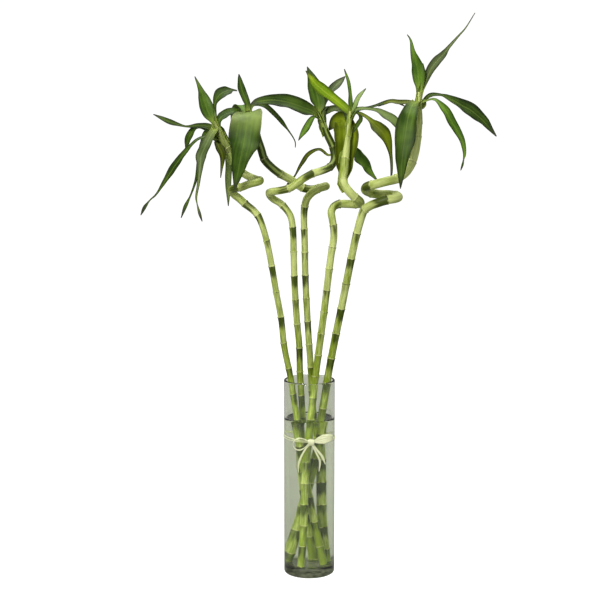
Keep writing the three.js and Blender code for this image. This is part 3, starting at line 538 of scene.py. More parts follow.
def cane_tree():
    """A round cane along a rail: wider in its coil, drawn in at its tip, with a ridge at each joint."""
    tree, given = new_tree("cane_sweep", {
        "Sides": "NodeSocketInt",
        **dict.fromkeys(("Cane radius", "Coil radius", "Coil start", "Coil full", "Tip taper",
                         "Tip share", "Ridge height", "Swell height"), "NodeSocketFloat"),
        "Skin": "NodeSocketMaterial",
    })
    rail = add(tree, "GeometryNodeMeshToCurve", {0: given["Geometry"]})
    run, left, ridge, swell = (
        add(tree, "GeometryNodeInputNamedAttribute", {0: key}, data_type="FLOAT")
        for key in ("run", "left", "ridge", "swell")
    )
    coil = add(tree, "ShaderNodeMapRange", {
        0: run, 1: given["Coil start"], 2: given["Coil full"], 3: given["Cane radius"],
        4: given["Coil radius"]}, interpolation_type="SMOOTHSTEP")
    tip = add(tree, "ShaderNodeMapRange", {
        0: left, 1: 0.0, 2: given["Tip taper"], 3: given["Tip share"], 4: 1.0},
        interpolation_type="SMOOTHSTEP")
    radius = add(tree, "ShaderNodeMath", {0: coil, 1: tip}, operation="MULTIPLY")
    ridged = add(tree, "ShaderNodeMath", {0: ridge, 1: given["Ridge height"], 2: radius},
                 operation="MULTIPLY_ADD")
    swollen = add(tree, "ShaderNodeMath", {0: swell, 1: given["Swell height"], 2: ridged},
                  operation="MULTIPLY_ADD")
    section = add(tree, "GeometryNodeCurvePrimitiveCircle", {0: given["Sides"], 4: 1.0})
    section = add(tree, "GeometryNodeStoreNamedAttribute", {
        0: section, 2: "round", 3: add(tree, "GeometryNodeInputPosition")},
        data_type="FLOAT_VECTOR", domain="POINT")
    body = add(tree, "GeometryNodeCurveToMesh", {0: rail, 1: section, 2: swollen, 3: True})
    finish_tree(tree, body, given["Skin"])
    return tree


def blade_tree():
    """A thin strip along a rail, whose points hold its spine, side and upper directions, half width,
    bend radius, middle and edge thickness, edge lifts and pleats."""
    tree, given = new_tree("blade_sweep", {
        "Section points": "NodeSocketInt", "Pleats": "NodeSocketFloat",
        "Skin": "NodeSocketMaterial",
    })
    rail = add(tree, "GeometryNodeMeshToCurve", {0: given["Geometry"]})
    whole = add(tree, "ShaderNodeMath", {0: given["Section points"], 1: 2.0}, operation="MULTIPLY")
    section = add(tree, "GeometryNodeCurvePrimitiveCircle", {0: whole, 4: MM})
    index = add(tree, "GeometryNodeInputIndex")
    under = add(tree, "ShaderNodeMath", {0: index, 1: given["Section points"]},
                operation="LESS_THAN")
    upper = add(tree, "ShaderNodeMath", {0: 1.0, 1: under}, operation="SUBTRACT")
    last = add(tree, "ShaderNodeMath", {0: given["Section points"], 1: 1.0}, operation="SUBTRACT")
    first_half = add(tree, "ShaderNodeMapRange", {0: index, 1: 0.0, 2: last, 3: -1.0, 4: 1.0},
                     clamp=False)
    past = add(tree, "ShaderNodeMath", {0: index, 1: given["Section points"]},
               operation="SUBTRACT")
    second_half = add(tree, "ShaderNodeMapRange", {0: past, 1: 0.0, 2: last, 3: 1.0, 4: -1.0},
                      clamp=False)
    across = add(tree, "ShaderNodeMix", {0: upper, 2: first_half, 3: second_half},
                 data_type="FLOAT")
    face = add(tree, "ShaderNodeMapRange", {0: under, 1: 0.0, 2: 1.0, 3: -1.0, 4: 1.0})
    for key, value in (("across", across), ("face", face)):
        section = add(tree, "GeometryNodeStoreNamedAttribute", {0: section, 2: key, 3: value},
                      data_type="FLOAT", domain="POINT")
    body = add(tree, "GeometryNodeCurveToMesh", {0: rail, 1: section, 3: True})

    names = ("half", "bend", "middle", "edge", "lift_left", "lift_right", "pleat", "across", "face")
    half, bend, middle, edge, lift_left, lift_right, pleat, across, face = (
        add(tree, "GeometryNodeInputNamedAttribute", {0: key}, data_type="FLOAT") for key in names
    )
    spine, side, up = (
        add(tree, "GeometryNodeInputNamedAttribute", {0: key}, data_type="FLOAT_VECTOR")
        for key in ("spine", "side", "up")
    )
    square = add(tree, "ShaderNodeMath", {0: across, 1: across}, operation="MULTIPLY")
    towards_right = add(tree, "ShaderNodeMapRange", {0: across, 1: -1.0, 2: 1.0})
    wave = add(tree, "ShaderNodeMix", {0: towards_right, 2: lift_left, 3: lift_right},
               data_type="FLOAT")
    wave = add(tree, "ShaderNodeMath", {0: wave, 1: square}, operation="MULTIPLY")
    turn = add(tree, "ShaderNodeMath", {0: across, 1: given["Pleats"]}, operation="MULTIPLY")
    turn = add(tree, "ShaderNodeMath", {0: turn, 1: math.pi}, operation="MULTIPLY")
    folds = add(tree, "ShaderNodeMath", {0: turn}, operation="COSINE")
    folds = add(tree, "ShaderNodeMath", {0: folds, 1: pleat, 2: wave}, operation="MULTIPLY_ADD")
    thin = add(tree, "ShaderNodeMath", {0: square, 1: 0.5}, operation="POWER")
    thick = add(tree, "ShaderNodeMix", {0: thin, 2: middle, 3: edge}, data_type="FLOAT")
    thick = add(tree, "ShaderNodeMath", {0: thick, 1: face}, operation="MULTIPLY")
    height = add(tree, "ShaderNodeMath", {0: thick, 1: 0.5, 2: folds}, operation="MULTIPLY_ADD")
    angle = add(tree, "ShaderNodeMath", {0: across, 1: half}, operation="MULTIPLY")
    angle = add(tree, "ShaderNodeMath", {0: angle, 1: bend}, operation="DIVIDE")
    reach = add(tree, "ShaderNodeMath", {0: bend, 1: height}, operation="SUBTRACT")
    out, drop = (
        add(tree, "ShaderNodeMath", {
            0: reach, 1: add(tree, "ShaderNodeMath", {0: angle}, operation=key)},
            operation="MULTIPLY")
        for key in ("SINE", "COSINE")
    )
    rise = add(tree, "ShaderNodeMath", {0: bend, 1: drop}, operation="SUBTRACT")
    place = spine
    for way, share in ((side, out), (up, rise)):
        shift = add(tree, "ShaderNodeVectorMath", {0: way, 3: share}, operation="SCALE")
        place = add(tree, "ShaderNodeVectorMath", {0: place, 1: shift}, operation="ADD")
    body = add(tree, "GeometryNodeSetPosition", {0: body, 2: place})
    finish_tree(tree, body, given["Skin"])
    return tree


def new_material(name):
    made = bpy.data.materials.new(name)
    made.use_nodes = True
    made.node_tree.nodes.clear()
    return made, made.node_tree


def waxed_leaf(name, upper, deep, under, rib):
    """Fresh leaf blade under its own wax: soft gloss, fine veins running its length about 0.9 mm
    apart, broader streaks about 3 mm wide, clouds of tone about 26 mm across, a paler midrib, darker
    margins, a duller back, a painted pale highlight where it folds over, and a yellow-green foot that
    fades up the blade. Its tip is dry."""
    made, tree = new_material(name)
    across, run, face, share, tint, half, fold_highlight = (
        add(tree, "ShaderNodeAttribute", out=2, attribute_name=key)
        for key in ("across", "run", "face", "share", "tint", "half", "fold_highlight")
    )
    off = add(tree, "ShaderNodeMath", {0: across, 1: half}, operation="MULTIPLY")
    straight = add(tree, "ShaderNodeCombineXYZ", {0: off, 1: run, 2: tint})
    veins, streaks = (
        add(tree, "ShaderNodeTexNoise", {
            0: add(tree, "ShaderNodeVectorMath", {0: straight, 1: scale}, operation="MULTIPLY"),
            2: 1.0, 3: detail, 4: grit})
        for scale, detail, grit in (((1100, 9, 7), 2.0, 0.55), ((300, 14, 5), 3.0, 0.6))
    )
    where = add(tree, "ShaderNodeTexCoord", out="Object")
    clouds = add(tree, "ShaderNodeTexNoise", {0: where, 2: 38.0, 3: 2.0, 4: 0.5})

    light = add(tree, "ShaderNodeMath", {0: clouds, 1: 1.6, 2: streaks}, operation="MULTIPLY_ADD")
    light = add(tree, "ShaderNodeMapRange", {0: light, 1: 1.02, 2: 1.62, 3: 0.0, 4: 1.0})
    colour = add(tree, "ShaderNodeMix", {0: light, 6: linear(deep), 7: linear(upper)}, out=2,
                 data_type="RGBA")
    dark_vein = add(tree, "ShaderNodeMapRange", {0: veins, 1: 0.35, 2: 0.65, 3: 0.86, 4: 1.1})
    tinted = add(tree, "ShaderNodeMapRange", {0: tint, 1: -1.0, 2: 1.0, 3: 0.34, 4: 1.56})
    bright = add(tree, "ShaderNodeMath", {0: dark_vein, 1: tinted}, operation="MULTIPLY")
    margin = add(tree, "ShaderNodeMath", {0: across}, operation="ABSOLUTE")
    margin = add(tree, "ShaderNodeMapRange", {0: margin, 1: 0.45, 2: 1.0, 3: 1.0, 4: 0.36},
                 interpolation_type="SMOOTHSTEP")
    bright = add(tree, "ShaderNodeMath", {0: bright, 1: margin}, operation="MULTIPLY")
    colour = add(tree, "ShaderNodeVectorMath", {0: colour, 3: bright}, operation="SCALE")
    # Painted highlight: where the blade folds over, a pale green is laid into its colour for the light
    # catching the fold.
    fold_highlight = add(tree, "ShaderNodeMath", {0: fold_highlight, 1: clouds}, operation="MULTIPLY")
    distance = add(tree, "ShaderNodeMath", {0: off}, operation="ABSOLUTE")
    rib_mask = add(tree, "ShaderNodeMapRange", {0: distance, 1: 0.0003, 2: 0.0011, 3: 0.45, 4: 0.0},
                   interpolation_type="SMOOTHSTEP")
    rib_mask = add(tree, "ShaderNodeMath", {0: rib_mask, 1: streaks}, operation="MULTIPLY")
    back = add(tree, "ShaderNodeMapRange", {0: face, 1: 0.2, 2: -0.2, 3: 0.0, 4: 0.75})
    foot = add(tree, "ShaderNodeMath", {0: streaks, 1: -0.12, 2: share}, operation="MULTIPLY_ADD")
    foot = add(tree, "ShaderNodeMapRange", {0: foot, 1: -0.18, 2: 0.16, 3: 0.8, 4: 0.0},
               interpolation_type="SMOOTHSTEP")
    dry = add(tree, "ShaderNodeMapRange", {0: share, 1: 0.84, 2: 0.98, 3: 0.0, 4: 0.85},
              interpolation_type="SMOOTHSTEP")
    for mask, over in ((fold_highlight, "#9DAE64"), (rib_mask, rib), (back, under), (foot, "#A9BC55"),
                       (dry, "#33362A")):
        colour = add(tree, "ShaderNodeMix", {0: mask, 6: colour, 7: linear(over)}, out=2,
                     data_type="RGBA")

    rough = add(tree, "ShaderNodeMapRange", {0: streaks, 1: 0.3, 2: 0.7, 3: 0.4, 4: 0.55})
    relief = add(tree, "ShaderNodeBump", {0: 0.35, 1: 0.00025, "Height": veins})
    skin = add(tree, "ShaderNodeBsdfPrincipled", {
        "Base Color": colour, "Roughness": rough, "IOR": 1.45, "Normal": relief,
        "Specular IOR Level": 0.13,
    })
    add(tree, "ShaderNodeOutputMaterial", {0: skin})
    return made


def green_cane():
    """Fresh cane under its waxy skin: satin, yellow-green with fine lengthwise streaks, a thin pale
    scar with dark spots at each joint, and a dark green patch that starts sharply below it and fades
    in streaks. On a cane of 4.2 mm radius the streaks are about 1 mm wide and 38 mm long, and the
    finest 0.3 by 25 mm. The shoot's pale bands, partly a painted highlight, are 2.2 mm wide."""
    made, tree = new_material("waxy_green_cane")
    round_at = add(tree, "ShaderNodeAttribute", out=1, attribute_name="round")
    run, patch, scar, shoot, age = (
        add(tree, "ShaderNodeAttribute", out=2, attribute_name=key)
        for key in ("run", "patch", "ridge", "shoot", "age")
    )
    flat = add(tree, "ShaderNodeSeparateXYZ", {0: round_at})
    straight = add(tree, "ShaderNodeCombineXYZ", {0: flat, 1: flat.node.outputs[1], 2: run})
    streaks, fine, clouds, stripes_and_highlight, around = (
        add(tree, "ShaderNodeTexNoise", {
            0: add(tree, "ShaderNodeVectorMath", {0: straight, 1: scale}, operation="MULTIPLY"),
            2: 1.0, 3: detail, 4: grit})
        for scale, detail, grit in (
            ((4.2, 4.2, 26), 3.0, 0.6), ((14, 14, 40), 2.0, 0.5), ((1.1, 1.1, 48), 3.0, 0.6),
            ((1.9, 1.9, 4), 1.0, 0.4), ((1.2, 1.2, 34), 1.0, 0.4))
    )

    light = add(tree, "ShaderNodeMath", {0: clouds, 1: 1.6, 2: streaks}, operation="MULTIPLY_ADD")
    light = add(tree, "ShaderNodeMapRange", {0: light, 1: 1.0, 2: 1.6, 3: 0.45, 4: -0.45})
    ripe = add(tree, "ShaderNodeMath", {0: age, 1: light}, operation="ADD", use_clamp=True)
    colour = add(tree, "ShaderNodeMix", {0: ripe, 6: linear("#C3CE80"), 7: linear("#7C9026")},
                 out=2, data_type="RGBA")
    # The shoot's pale bands are partly its own stripes and partly a painted highlight along it.
    stripes_and_highlight = add(tree, "ShaderNodeMapRange", {0: stripes_and_highlight, 1: 0.46, 2: 0.62, 3: 0.0, 4: 1.0})
    shoot_skin_and_highlight = add(tree, "ShaderNodeMix", {
        0: stripes_and_highlight, 6: linear("#2C3A08"), 7: linear("#8FA254")}, out=2, data_type="RGBA")
    young = add(tree, "ShaderNodeMath", {0: shoot, 1: 1.3, 2: streaks}, operation="MULTIPLY_ADD")
    young = add(tree, "ShaderNodeMapRange", {0: young, 1: 1.0, 2: 1.6, 3: 0.0, 4: 0.95},
                interpolation_type="SMOOTHSTEP")

    ragged = add(tree, "ShaderNodeMath", {0: around, 1: 2.0, 2: streaks}, operation="MULTIPLY_ADD")
    ragged = add(tree, "ShaderNodeMapRange", {0: ragged, 1: 1.1, 2: 1.9, 3: -0.9, 4: 0.2})
    ragged = add(tree, "ShaderNodeMath", {0: patch, 1: 1.45, 2: ragged}, operation="MULTIPLY_ADD")
    stain = add(tree, "ShaderNodeMapRange", {0: ragged, 1: -0.25, 2: 1.05, 3: 0.0, 4: 0.96},
                interpolation_type="SMOOTHSTEP")
    dark = add(tree, "ShaderNodeMix", {0: fine, 6: linear("#1C2602"), 7: linear("#445606")}, out=2,
               data_type="RGBA")
    line = add(tree, "ShaderNodeMapRange", {0: scar, 1: 0.25, 2: 0.95, 3: 0.0, 4: 0.7},
               interpolation_type="SMOOTHSTEP")
    spots = add(tree, "ShaderNodeMapRange", {0: around, 1: 0.5, 2: 0.6, 3: 0.0, 4: 1.0})
    edge = add(tree, "ShaderNodeMix", {0: spots, 6: linear("#B7BB80"), 7: linear("#4B4F1E")}, out=2,
               data_type="RGBA")
    for mask, over in ((young, shoot_skin_and_highlight), (stain, dark), (line, edge)):
        colour = add(tree, "ShaderNodeMix", {0: mask, 6: colour, 7: over}, out=2,
                     data_type="RGBA")
    mottle = add(tree, "ShaderNodeMapRange", {0: fine, 1: 0.3, 2: 0.7, 3: 0.93, 4: 1.06})
    colour = add(tree, "ShaderNodeVectorMath", {0: colour, 3: mottle}, operation="SCALE")

    rough = add(tree, "ShaderNodeMapRange", {0: streaks, 1: 0.3, 2: 0.7, 3: 0.32, 4: 0.46})
    relief = add(tree, "ShaderNodeBump", {0: 0.3, 1: 0.0003, "Height": streaks})
    skin = add(tree, "ShaderNodeBsdfPrincipled", {
        "Base Color": colour, "Roughness": rough, "IOR": 1.46, "Normal": relief,
        "Specular IOR Level": 0.18,
    })
    add(tree, "ShaderNodeOutputMaterial", {0: skin})
    return made


def raffia_fibre():
    """Raffia palm fibre: a dry flat strip, pale cream-green, with silky fibres about 0.25 mm wide
    along its length, drawn at 0.5 mm so that they show."""
    made, tree = new_material("raffia_palm_fibre")
    across, run, half = (
        add(tree, "ShaderNodeAttribute", out=2, attribute_name=key)
        for key in ("across", "run", "half")
    )
    off = add(tree, "ShaderNodeMath", {0: across, 1: half}, operation="MULTIPLY")
    straight = add(tree, "ShaderNodeCombineXYZ", {0: off, 1: run, 2: 0.0})
    fibres_at = add(tree, "ShaderNodeVectorMath", {0: straight, 1: (2000, 60, 1)},
                    operation="MULTIPLY")
    fibres = add(tree, "ShaderNodeTexNoise", {0: fibres_at, 2: 1.0, 3: 2.0, 4: 0.6})
    shade = add(tree, "ShaderNodeMapRange", {0: fibres, 1: 0.3, 2: 0.7})
    colour = add(tree, "ShaderNodeMix", {0: shade, 6: linear("#CDD49B"), 7: linear("#F1F3D6")},
                 out=2, data_type="RGBA")
    relief = add(tree, "ShaderNodeBump", {0: 0.5, 1: 0.0003, "Height": fibres})
    skin = add(tree, "ShaderNodeBsdfPrincipled", {
        "Base Color": colour, "Roughness": 0.55, "IOR": 1.5, "Normal": relief,
        "Sheen Weight": 0.15, "Sheen Roughness": 0.4,
    })
    add(tree, "ShaderNodeOutputMaterial", {0: skin})
    return made


def clear_body(name, tint, foot_tint, foot_painted_reflection, ior):
    """A clear body that bends light, and lets the lamps through to what stands in it. Its colour is
    deeper up to 9 mm above the ground, where light crosses the most glass, and clears by 17 mm. Down
    there dark blotches about 7 mm wide and 3 mm high are painted in, a painted reflection of the stems
    and painted shade under the body. Faint waves about 45 mm long run over its faces."""
    made, tree = new_material(name)
    where = add(tree, "ShaderNodeTexCoord", out="Object")
    drift = add(tree, "ShaderNodeTexNoise", {0: where, 2: 22.0, 3: 1.0, 4: 0.4})
    waves = add(tree, "ShaderNodeBump", {0: 0.04, 1: 0.001, "Height": drift})
    # Painted reflection and shade: the foot's dark mottle stands in for the stems mirrored in the
    # underside and the shade beneath it.
    reflection_mottle_at = add(tree, "ShaderNodeVectorMath", {0: where, 1: (140, 140, 330)},
                     operation="MULTIPLY")
    reflection_mottle = add(tree, "ShaderNodeTexNoise", {0: reflection_mottle_at, 2: 1.0, 3: 2.0, 4: 0.6})
    reflection_mottle = add(tree, "ShaderNodeMapRange", {0: reflection_mottle, 1: 0.38, 2: 0.62})
    foot = add(tree, "ShaderNodeMix", {0: reflection_mottle, 6: linear(foot_painted_reflection), 7: linear(foot_tint)},
               out=2, data_type="RGBA")
    height = add(tree, "ShaderNodeSeparateXYZ", {0: where}, out=2)
    above = add(tree, "ShaderNodeMapRange", {0: height, 1: 0.009, 2: 0.017, 3: 0.0, 4: 1.0},
                interpolation_type="SMOOTHSTEP")
    colour = add(tree, "ShaderNodeMix", {0: above, 6: foot, 7: linear(tint)}, out=2,
                 data_type="RGBA")
    body = add(tree, "ShaderNodeBsdfPrincipled", {
        "Base Color": colour, "Roughness": 0.0, "IOR": ior, "Normal": waves,
        "Transmission Weight": 1.0,
    })
    passed = add(tree, "ShaderNodeBsdfTransparent", {0: linear("#FBFCF9")})
    lamp = add(tree, "ShaderNodeLightPath", out="Is Shadow Ray")
    shown = add(tree, "ShaderNodeMixShader", {0: lamp, 1: body, 2: passed})
    add(tree, "ShaderNodeOutputMaterial", {0: shown})
    return made


def cane_rings(cane, length):
    moved = cane["moved"]
    count = 1 + int((length - RING_END_CLEAR - cane["first"]) // cane["pitch"])
    return [cane["first"] + k * cane["pitch"] + moved.get(k, 0) for k in range(count)]


def cane_radius(cane, s, length):
    full = mix(cane["radius"], cane["coil_radius"], smooth(s, COIL_START, COIL_FULL))
    return full * mix(1, TIP_SHARE, smooth(s, length - cane.get("taper", TIP_TAPER), length))


def patch_strength(cane, rings, s):
    """How dark the skin is at arc length s: full just below a ring, then fading down the cane."""
    values = np.zeros_like(s)
    for k, ring in enumerate(rings):
        shade = cane["shades"][k] if k < len(cane["shades"]) else PATCH_DEFAULT
        reach = PATCH_LENGTH * (PATCH_SHORT + PATCH_GROW * shade)
        fade = 1 - smooth(ring - s, PATCH_HOLD * reach, reach)
        values = np.where((s <= ring) & (ring - s < reach), shade * fade, values)
    return values


def skin_age(name, rings, s, heights):
    """How ripe the skin is, joint by joint: pale near the coil, greener towards the water."""
    differ = [random.Random(f"{name} joint {k}").uniform(-AGE_SPREAD, AGE_SPREAD)
              for k in range(len(rings) + 1)]
    ripe = AGE_LOW + AGE_RISE * (1 - smooth(heights, *AGE_HEIGHTS))
    return ripe + np.array(differ)[np.searchsorted(rings, s)]


def cane_piece(name, cane, tree, skin):
    """A cane from its cut end, GAP above the vase's floor, to its tip, sampled finely at its rings."""
    line = cane["line"]
    length = line.length
    rings = cane_rings(cane, length)
    fine = [ring + step for ring in rings for step in RING_STEPS]
    even = [s for s in np.arange(0, length, CANE_STEP)
            if min(abs(s - ring) for ring in rings) > RING_STEPS[-1] + RING_CLEAR]
    s = np.unique(np.clip(np.array(fine + even + [0, length]), 0, length))
    s = s[np.concatenate([[True], np.diff(s) > SAMPLE_GAP])]
    low = VASE_FLOOR + GAP
    s = s[line.at(s)[:, 2] > low]
    start = np.interp(low, line.dense[:FOOT_SAMPLES, 2], line.run[:FOOT_SAMPLES])
    s = np.concatenate([[start], s])
    nearest = np.min([np.abs(s - ring) for ring in rings], axis=0)
    below = np.min([np.where(s <= ring, ring - s, FAR_BELOW) for ring in rings], axis=0)
    rail = rail_object(name, line.at(s), numbers=dict(
        run=s * MM,
        left=(length - s) * MM,
        ridge=np.exp(-((nearest / RING_HALF) ** 2)),
        swell=np.exp(-(((below - SWELL_BELOW) / SWELL_HALF) ** 2)),
        patch=patch_strength(cane, rings, s),
        age=skin_age(name, rings, s, line.at(s)[:, 2]),
        shoot=cane.get("shoot", 0) * smooth(s, length - SHOOT_LENGTH, length - SHOOT_FULL),
    ))
    sizes = {
        "Cane radius": cane["radius"], "Coil radius": cane["coil_radius"],
        "Coil start": COIL_START, "Coil full": COIL_FULL, "Tip taper": cane.get("taper", TIP_TAPER),
        "Ridge height": RING_RIDGE, "Swell height": RING_SWELL,
    }
    return grown(rail, tree, {
        "Sides": CANE_SIDES, "Tip share": TIP_SHARE, "Skin": skin,
        **{key: size * MM for key, size in sizes.items()},
    })


def eased(x, places, values):
    """A smooth curve through the values at these places, which never swings past them."""
    places, values = np.asarray(places, float), np.asarray(values, float)
    slopes = np.diff(values) / np.diff(places)
    before, after = slopes[:-1], slopes[1:]
    level = np.divide(2 * before * after, before + after, out=np.zeros_like(before),
                      where=before * after > 0)
    slope = np.concatenate([slopes[:1], level, slopes[-1:]])
    k = np.clip(np.searchsorted(places, x, side="right") - 1, 0, len(slopes) - 1)
    span = places[k + 1] - places[k]
    u = np.clip((x - places[k]) / span, 0, 1)
    return (values[k] * (1 + 2 * u) * (1 - u) ** 2 + slope[k] * span * u * (1 - u) ** 2
            + values[k + 1] * u**2 * (3 - 2 * u) + slope[k + 1] * span * u**2 * (u - 1))


def steady_up(tangents, up, keep):
    """Upper directions carried without twisting from the first kept sample back to the foot."""
    up = up.copy()
    for i in range(keep - 1, -1, -1):
        moved = up[i + 1] - np.dot(up[i + 1], tangents[i]) * tangents[i]
        up[i] = moved / np.linalg.norm(moved)
    return up


def leaf_piece(name, cane, leaf, index, tree, skin):
    """A blade on its midrib: a sheath that clasps the cane, opening into the keeled, waved strap."""
    stem = cane["line"]
    start = stem.length - leaf["start"]
    tip = stem.at(stem.length)
    face = unit(leaf["face"])
    blade = Line([stem.at(start), *(tip + np.array(p[:3]) for p in leaf["rib"])])

    s = np.arange(0, blade.length, BLADE_STEP)
    tangents = blade.along(s)
    side = unit(np.cross(tangents, face))
    up = steady_up(tangents, np.cross(side, tangents), int(STEADY_SHARE * len(s)))
    axis = stem.along(start)
    outward = -(up[2] - np.dot(up[2], axis) * axis)
    outward /= np.linalg.norm(outward)

    sheath_s = np.array([start - SHEATH_LENGTH, start - 0.5 * SHEATH_LENGTH, start])
    proud = cane_radius(cane, sheath_s, stem.length) + SHEATH_PROUD
    sheath = stem.at(sheath_s) + outward * proud[:, None]
    clear = max(FOOT_CLEAR, FOOT_CLEAR_SHARE * proud[-1])
    points = max(REST_POINTS, int(blade.length / REST_STEP))
    rest = blade.at(np.linspace(clear, blade.length, points))
    rib = Line(np.vstack([sheath, rest]))

    count = max(BLADE_RINGS, round(rib.length / BLADE_STEP))
    s = np.linspace(0, rib.length, count)
    spine = rib.at(s)
    tangents = rib.along(s)
    t = np.clip((s - rib.length + blade.length) / blade.length, 0, 1)
    side = unit(np.cross(tangents, face))
    keep = int(np.searchsorted(t, STEADY_SHARE))
    up = steady_up(tangents, np.cross(side, tangents), keep)
    roll = leaf.get("roll")
    side = np.cross(tangents, up)
    if roll:
        angle = np.radians(np.interp(t, [k for k, _ in roll], [v for _, v in roll]))[:, None]
        side, up = (side * np.cos(angle) + up * np.sin(angle),
                    up * np.cos(angle) - side * np.sin(angle))

    opening, wrap = leaf.get("opening", SHEATH_OPENING), leaf.get("wrap", SHEATH_WRAP)
    clasp = 1 - smooth(s, SHEATH_LENGTH * CLASP_HOLD, SHEATH_LENGTH + opening)
    widths = [leaf["foot"], *(p[3] for p in leaf["rib"])]
    width = eased(t * blade.length, blade.run[::Line.DENSE], widths)
    # An arc whose depth is this share of its width turns by about four times the share each way.
    fold = 4 * leaf.get("keel", LEAF_KEEL)
    half = mix(width / 2 * fold / math.sin(fold),
               proud[0] * wrap * mix(1, CLASP_NARROWS, smooth(s, 0, CLASP_RUN)), clasp)
    bend = 1 / mix(fold / half, 1 / proud[0], clasp)
    turn = 2 * math.pi * LEAF_WAVES * t + WAVE_BETWEEN * index
    swing = LEAF_WAVE * width * np.sin(math.pi * t)
    crinkle = random.Random(f"{name} edge")
    left_at, right_at = crinkle.uniform(0, RIPPLE_PHASE), crinkle.uniform(0, RIPPLE_PHASE)
    ripple = RIPPLE * width * np.sin(math.pi * t)
    middle = mix(LEAF_RIB, LEAF_EDGE, smooth(t, RIB_THINS, 1))
    # The painted pale highlight on the fold lies at this share of the blade.
    fold_at = leaf.get("highlight_at", 0)
    fold_highlight = np.exp(-(((t - fold_at) / HIGHLIGHT_REACH) ** 2)) if fold_at else 0
    rail = rail_object(name, spine, numbers=dict(
        run=s * MM, share=t, tint=leaf.get("tint", 0), fold_highlight=fold_highlight, half=half * MM, bend=bend * MM,
        middle=middle * MM, edge=LEAF_EDGE * MM, pleat=0,
        lift_left=(swing * np.sin(turn) + ripple * np.sin(s / RIPPLE_LEFT + left_at)) * MM,
        lift_right=(swing * np.sin(turn + WAVE_ACROSS)
                    + ripple * np.sin(s / RIPPLE_RIGHT + right_at)) * MM,
    ), vectors=dict(spine=spine * MM, side=side, up=up))
    return grown(rail, tree, {"Section points": BLADE_POINTS, "Pleats": 0.0, "Skin": skin})


def strip(name, line, across, widths, creases, tree, skin):
    """A flat raffia strip, creased along its length."""
    count = max(STRIP_RINGS, round(line.length / STRIP_STEP))
    s = np.linspace(0, line.length, count)
    spine = line.at(s)
    tangents = line.along(s)
    side = np.asarray(across, float) - (tangents @ np.asarray(across, float))[:, None] * tangents
    side = unit(side)
    half = np.interp(s / line.length, np.linspace(0, 1, len(widths)), widths) / 2
    rail = rail_object(name, spine, numbers=dict(
        run=s * MM, half=half * MM, bend=1.0, middle=STRIP_THICK * MM,
        edge=STRIP_THICK * STRIP_EDGE_SHARE * MM, pleat=STRIP_PLEAT * half * MM, lift_left=0.0,
        lift_right=0.0,
    ), vectors=dict(spine=spine * MM, side=side, up=np.cross(side, tangents)))
    return grown(rail, tree, {
        "Section points": STRIP_POINTS, "Pleats": float(creases), "Skin": skin})


def tie_piece(tree, skin):
    """The tie: two turns round the glass, the knot's wraps, its loops and its tails."""
    knot = np.array(KNOT_CENTRE, float)
    parts = []
    for k, (rise, lean, width) in enumerate(((0.5, 0, TIE_WIDTH), (-0.6, 0.05, TIE_WIDTH * 0.6))):
        turn = np.linspace(0, 2 * math.pi, TURN_POINTS, endpoint=False)
        radius = VASE_RADIUS + TURN_CLEAR + TURN_APART * k
        x, y = radius * np.cos(turn), radius * np.sin(turn)
        spine = np.stack([x, y, TIE_HEIGHT + (TIE_SLOPE + lean) * x + rise], axis=-1)
        out = np.stack([np.cos(turn), np.sin(turn), 0 * turn], axis=-1)
        tangents = unit(np.roll(spine, -1, 0) - np.roll(spine, 1, 0))
        rail = rail_object(f"tie_turn_{k}", spine, numbers=dict(
            run=turn * radius * MM,
            half=width / 2 * (1 + TURN_VARIES * np.sin(3 * turn + k)) * MM,
            bend=1.0, middle=STRIP_THICK * MM, edge=TURN_EDGE * MM, pleat=TURN_PLEAT * MM,
            lift_left=0.0, lift_right=0.0,
        ), vectors=dict(spine=spine * MM, side=np.cross(tangents, out), up=out), closed=True)
        parts.append(grown(rail, tree, {
            "Section points": STRIP_POINTS, "Pleats": 3.0, "Skin": skin}))
    for k, row in enumerate(RAFFIA):
        line = Line(knot + np.array(row["path"], float))
        parts.append(strip(f"tie_strip_{k}", line, row["across"], row["widths"], row["creases"],
                           tree, skin))
    wide, deep, high = KNOT_HALF
    for k, (tip_x, tilt, width) in enumerate(((0.6, 0.25, 6.5), (-1.4, -0.35, 4.5))):
        turn = np.linspace(0, 2 * math.pi, 9)[:-1]
        ring = np.stack([tip_x + tilt * wide * np.sin(turn), -deep * np.cos(turn),
                         high * np.sin(turn)], axis=-1)
        line = Line(knot + np.vstack([ring, ring[:2]]))
        parts.append(strip(f"tie_wrap_{k}", line, (1, 0, -tilt), (width,), 3, tree, skin))
    return join("raffia_bow", parts)


def lathe_piece(name, profile, sides, skin):
    """A round body from a profile of (radius, height) that starts and ends on the axis."""
    turn = np.linspace(0, 2 * math.pi, sides, endpoint=False)
    bands = len(profile) - 3
    points, faces = [(0, 0, profile[0][1] * MM)], []
    for radius, height in profile[1:-1]:
        points += [(radius * math.cos(a) * MM, radius * math.sin(a) * MM, height * MM) for a in turn]
    points.append((0, 0, profile[-1][1] * MM))
    last = len(points) - 1
    for j in range(sides):
        k = (j + 1) % sides
        faces.append((0, 1 + k, 1 + j))
        for i in range(bands):
            here, there = 1 + i * sides, 1 + (i + 1) * sides
            faces.append((here + j, here + k, there + k, there + j))
        top = 1 + bands * sides
        faces.append((top + j, top + k, last))
    mesh = bpy.data.meshes.new(name)
    mesh.from_pydata(points, [], faces)
    mesh.shade_smooth()
    mesh.materials.append(skin)
    if signed_volume(mesh) < 0:
        mesh.flip_normals()
    made = bpy.data.objects.new(name, mesh)
    bpy.context.scene.collection.objects.link(made)
    return made


def arc(centre, radius, start, end, steps=8):
    turn = [math.radians(a) for a in np.linspace(start, end, steps)]
    return [(centre[0] + radius * math.cos(a), centre[1] + radius * math.sin(a)) for a in turn]


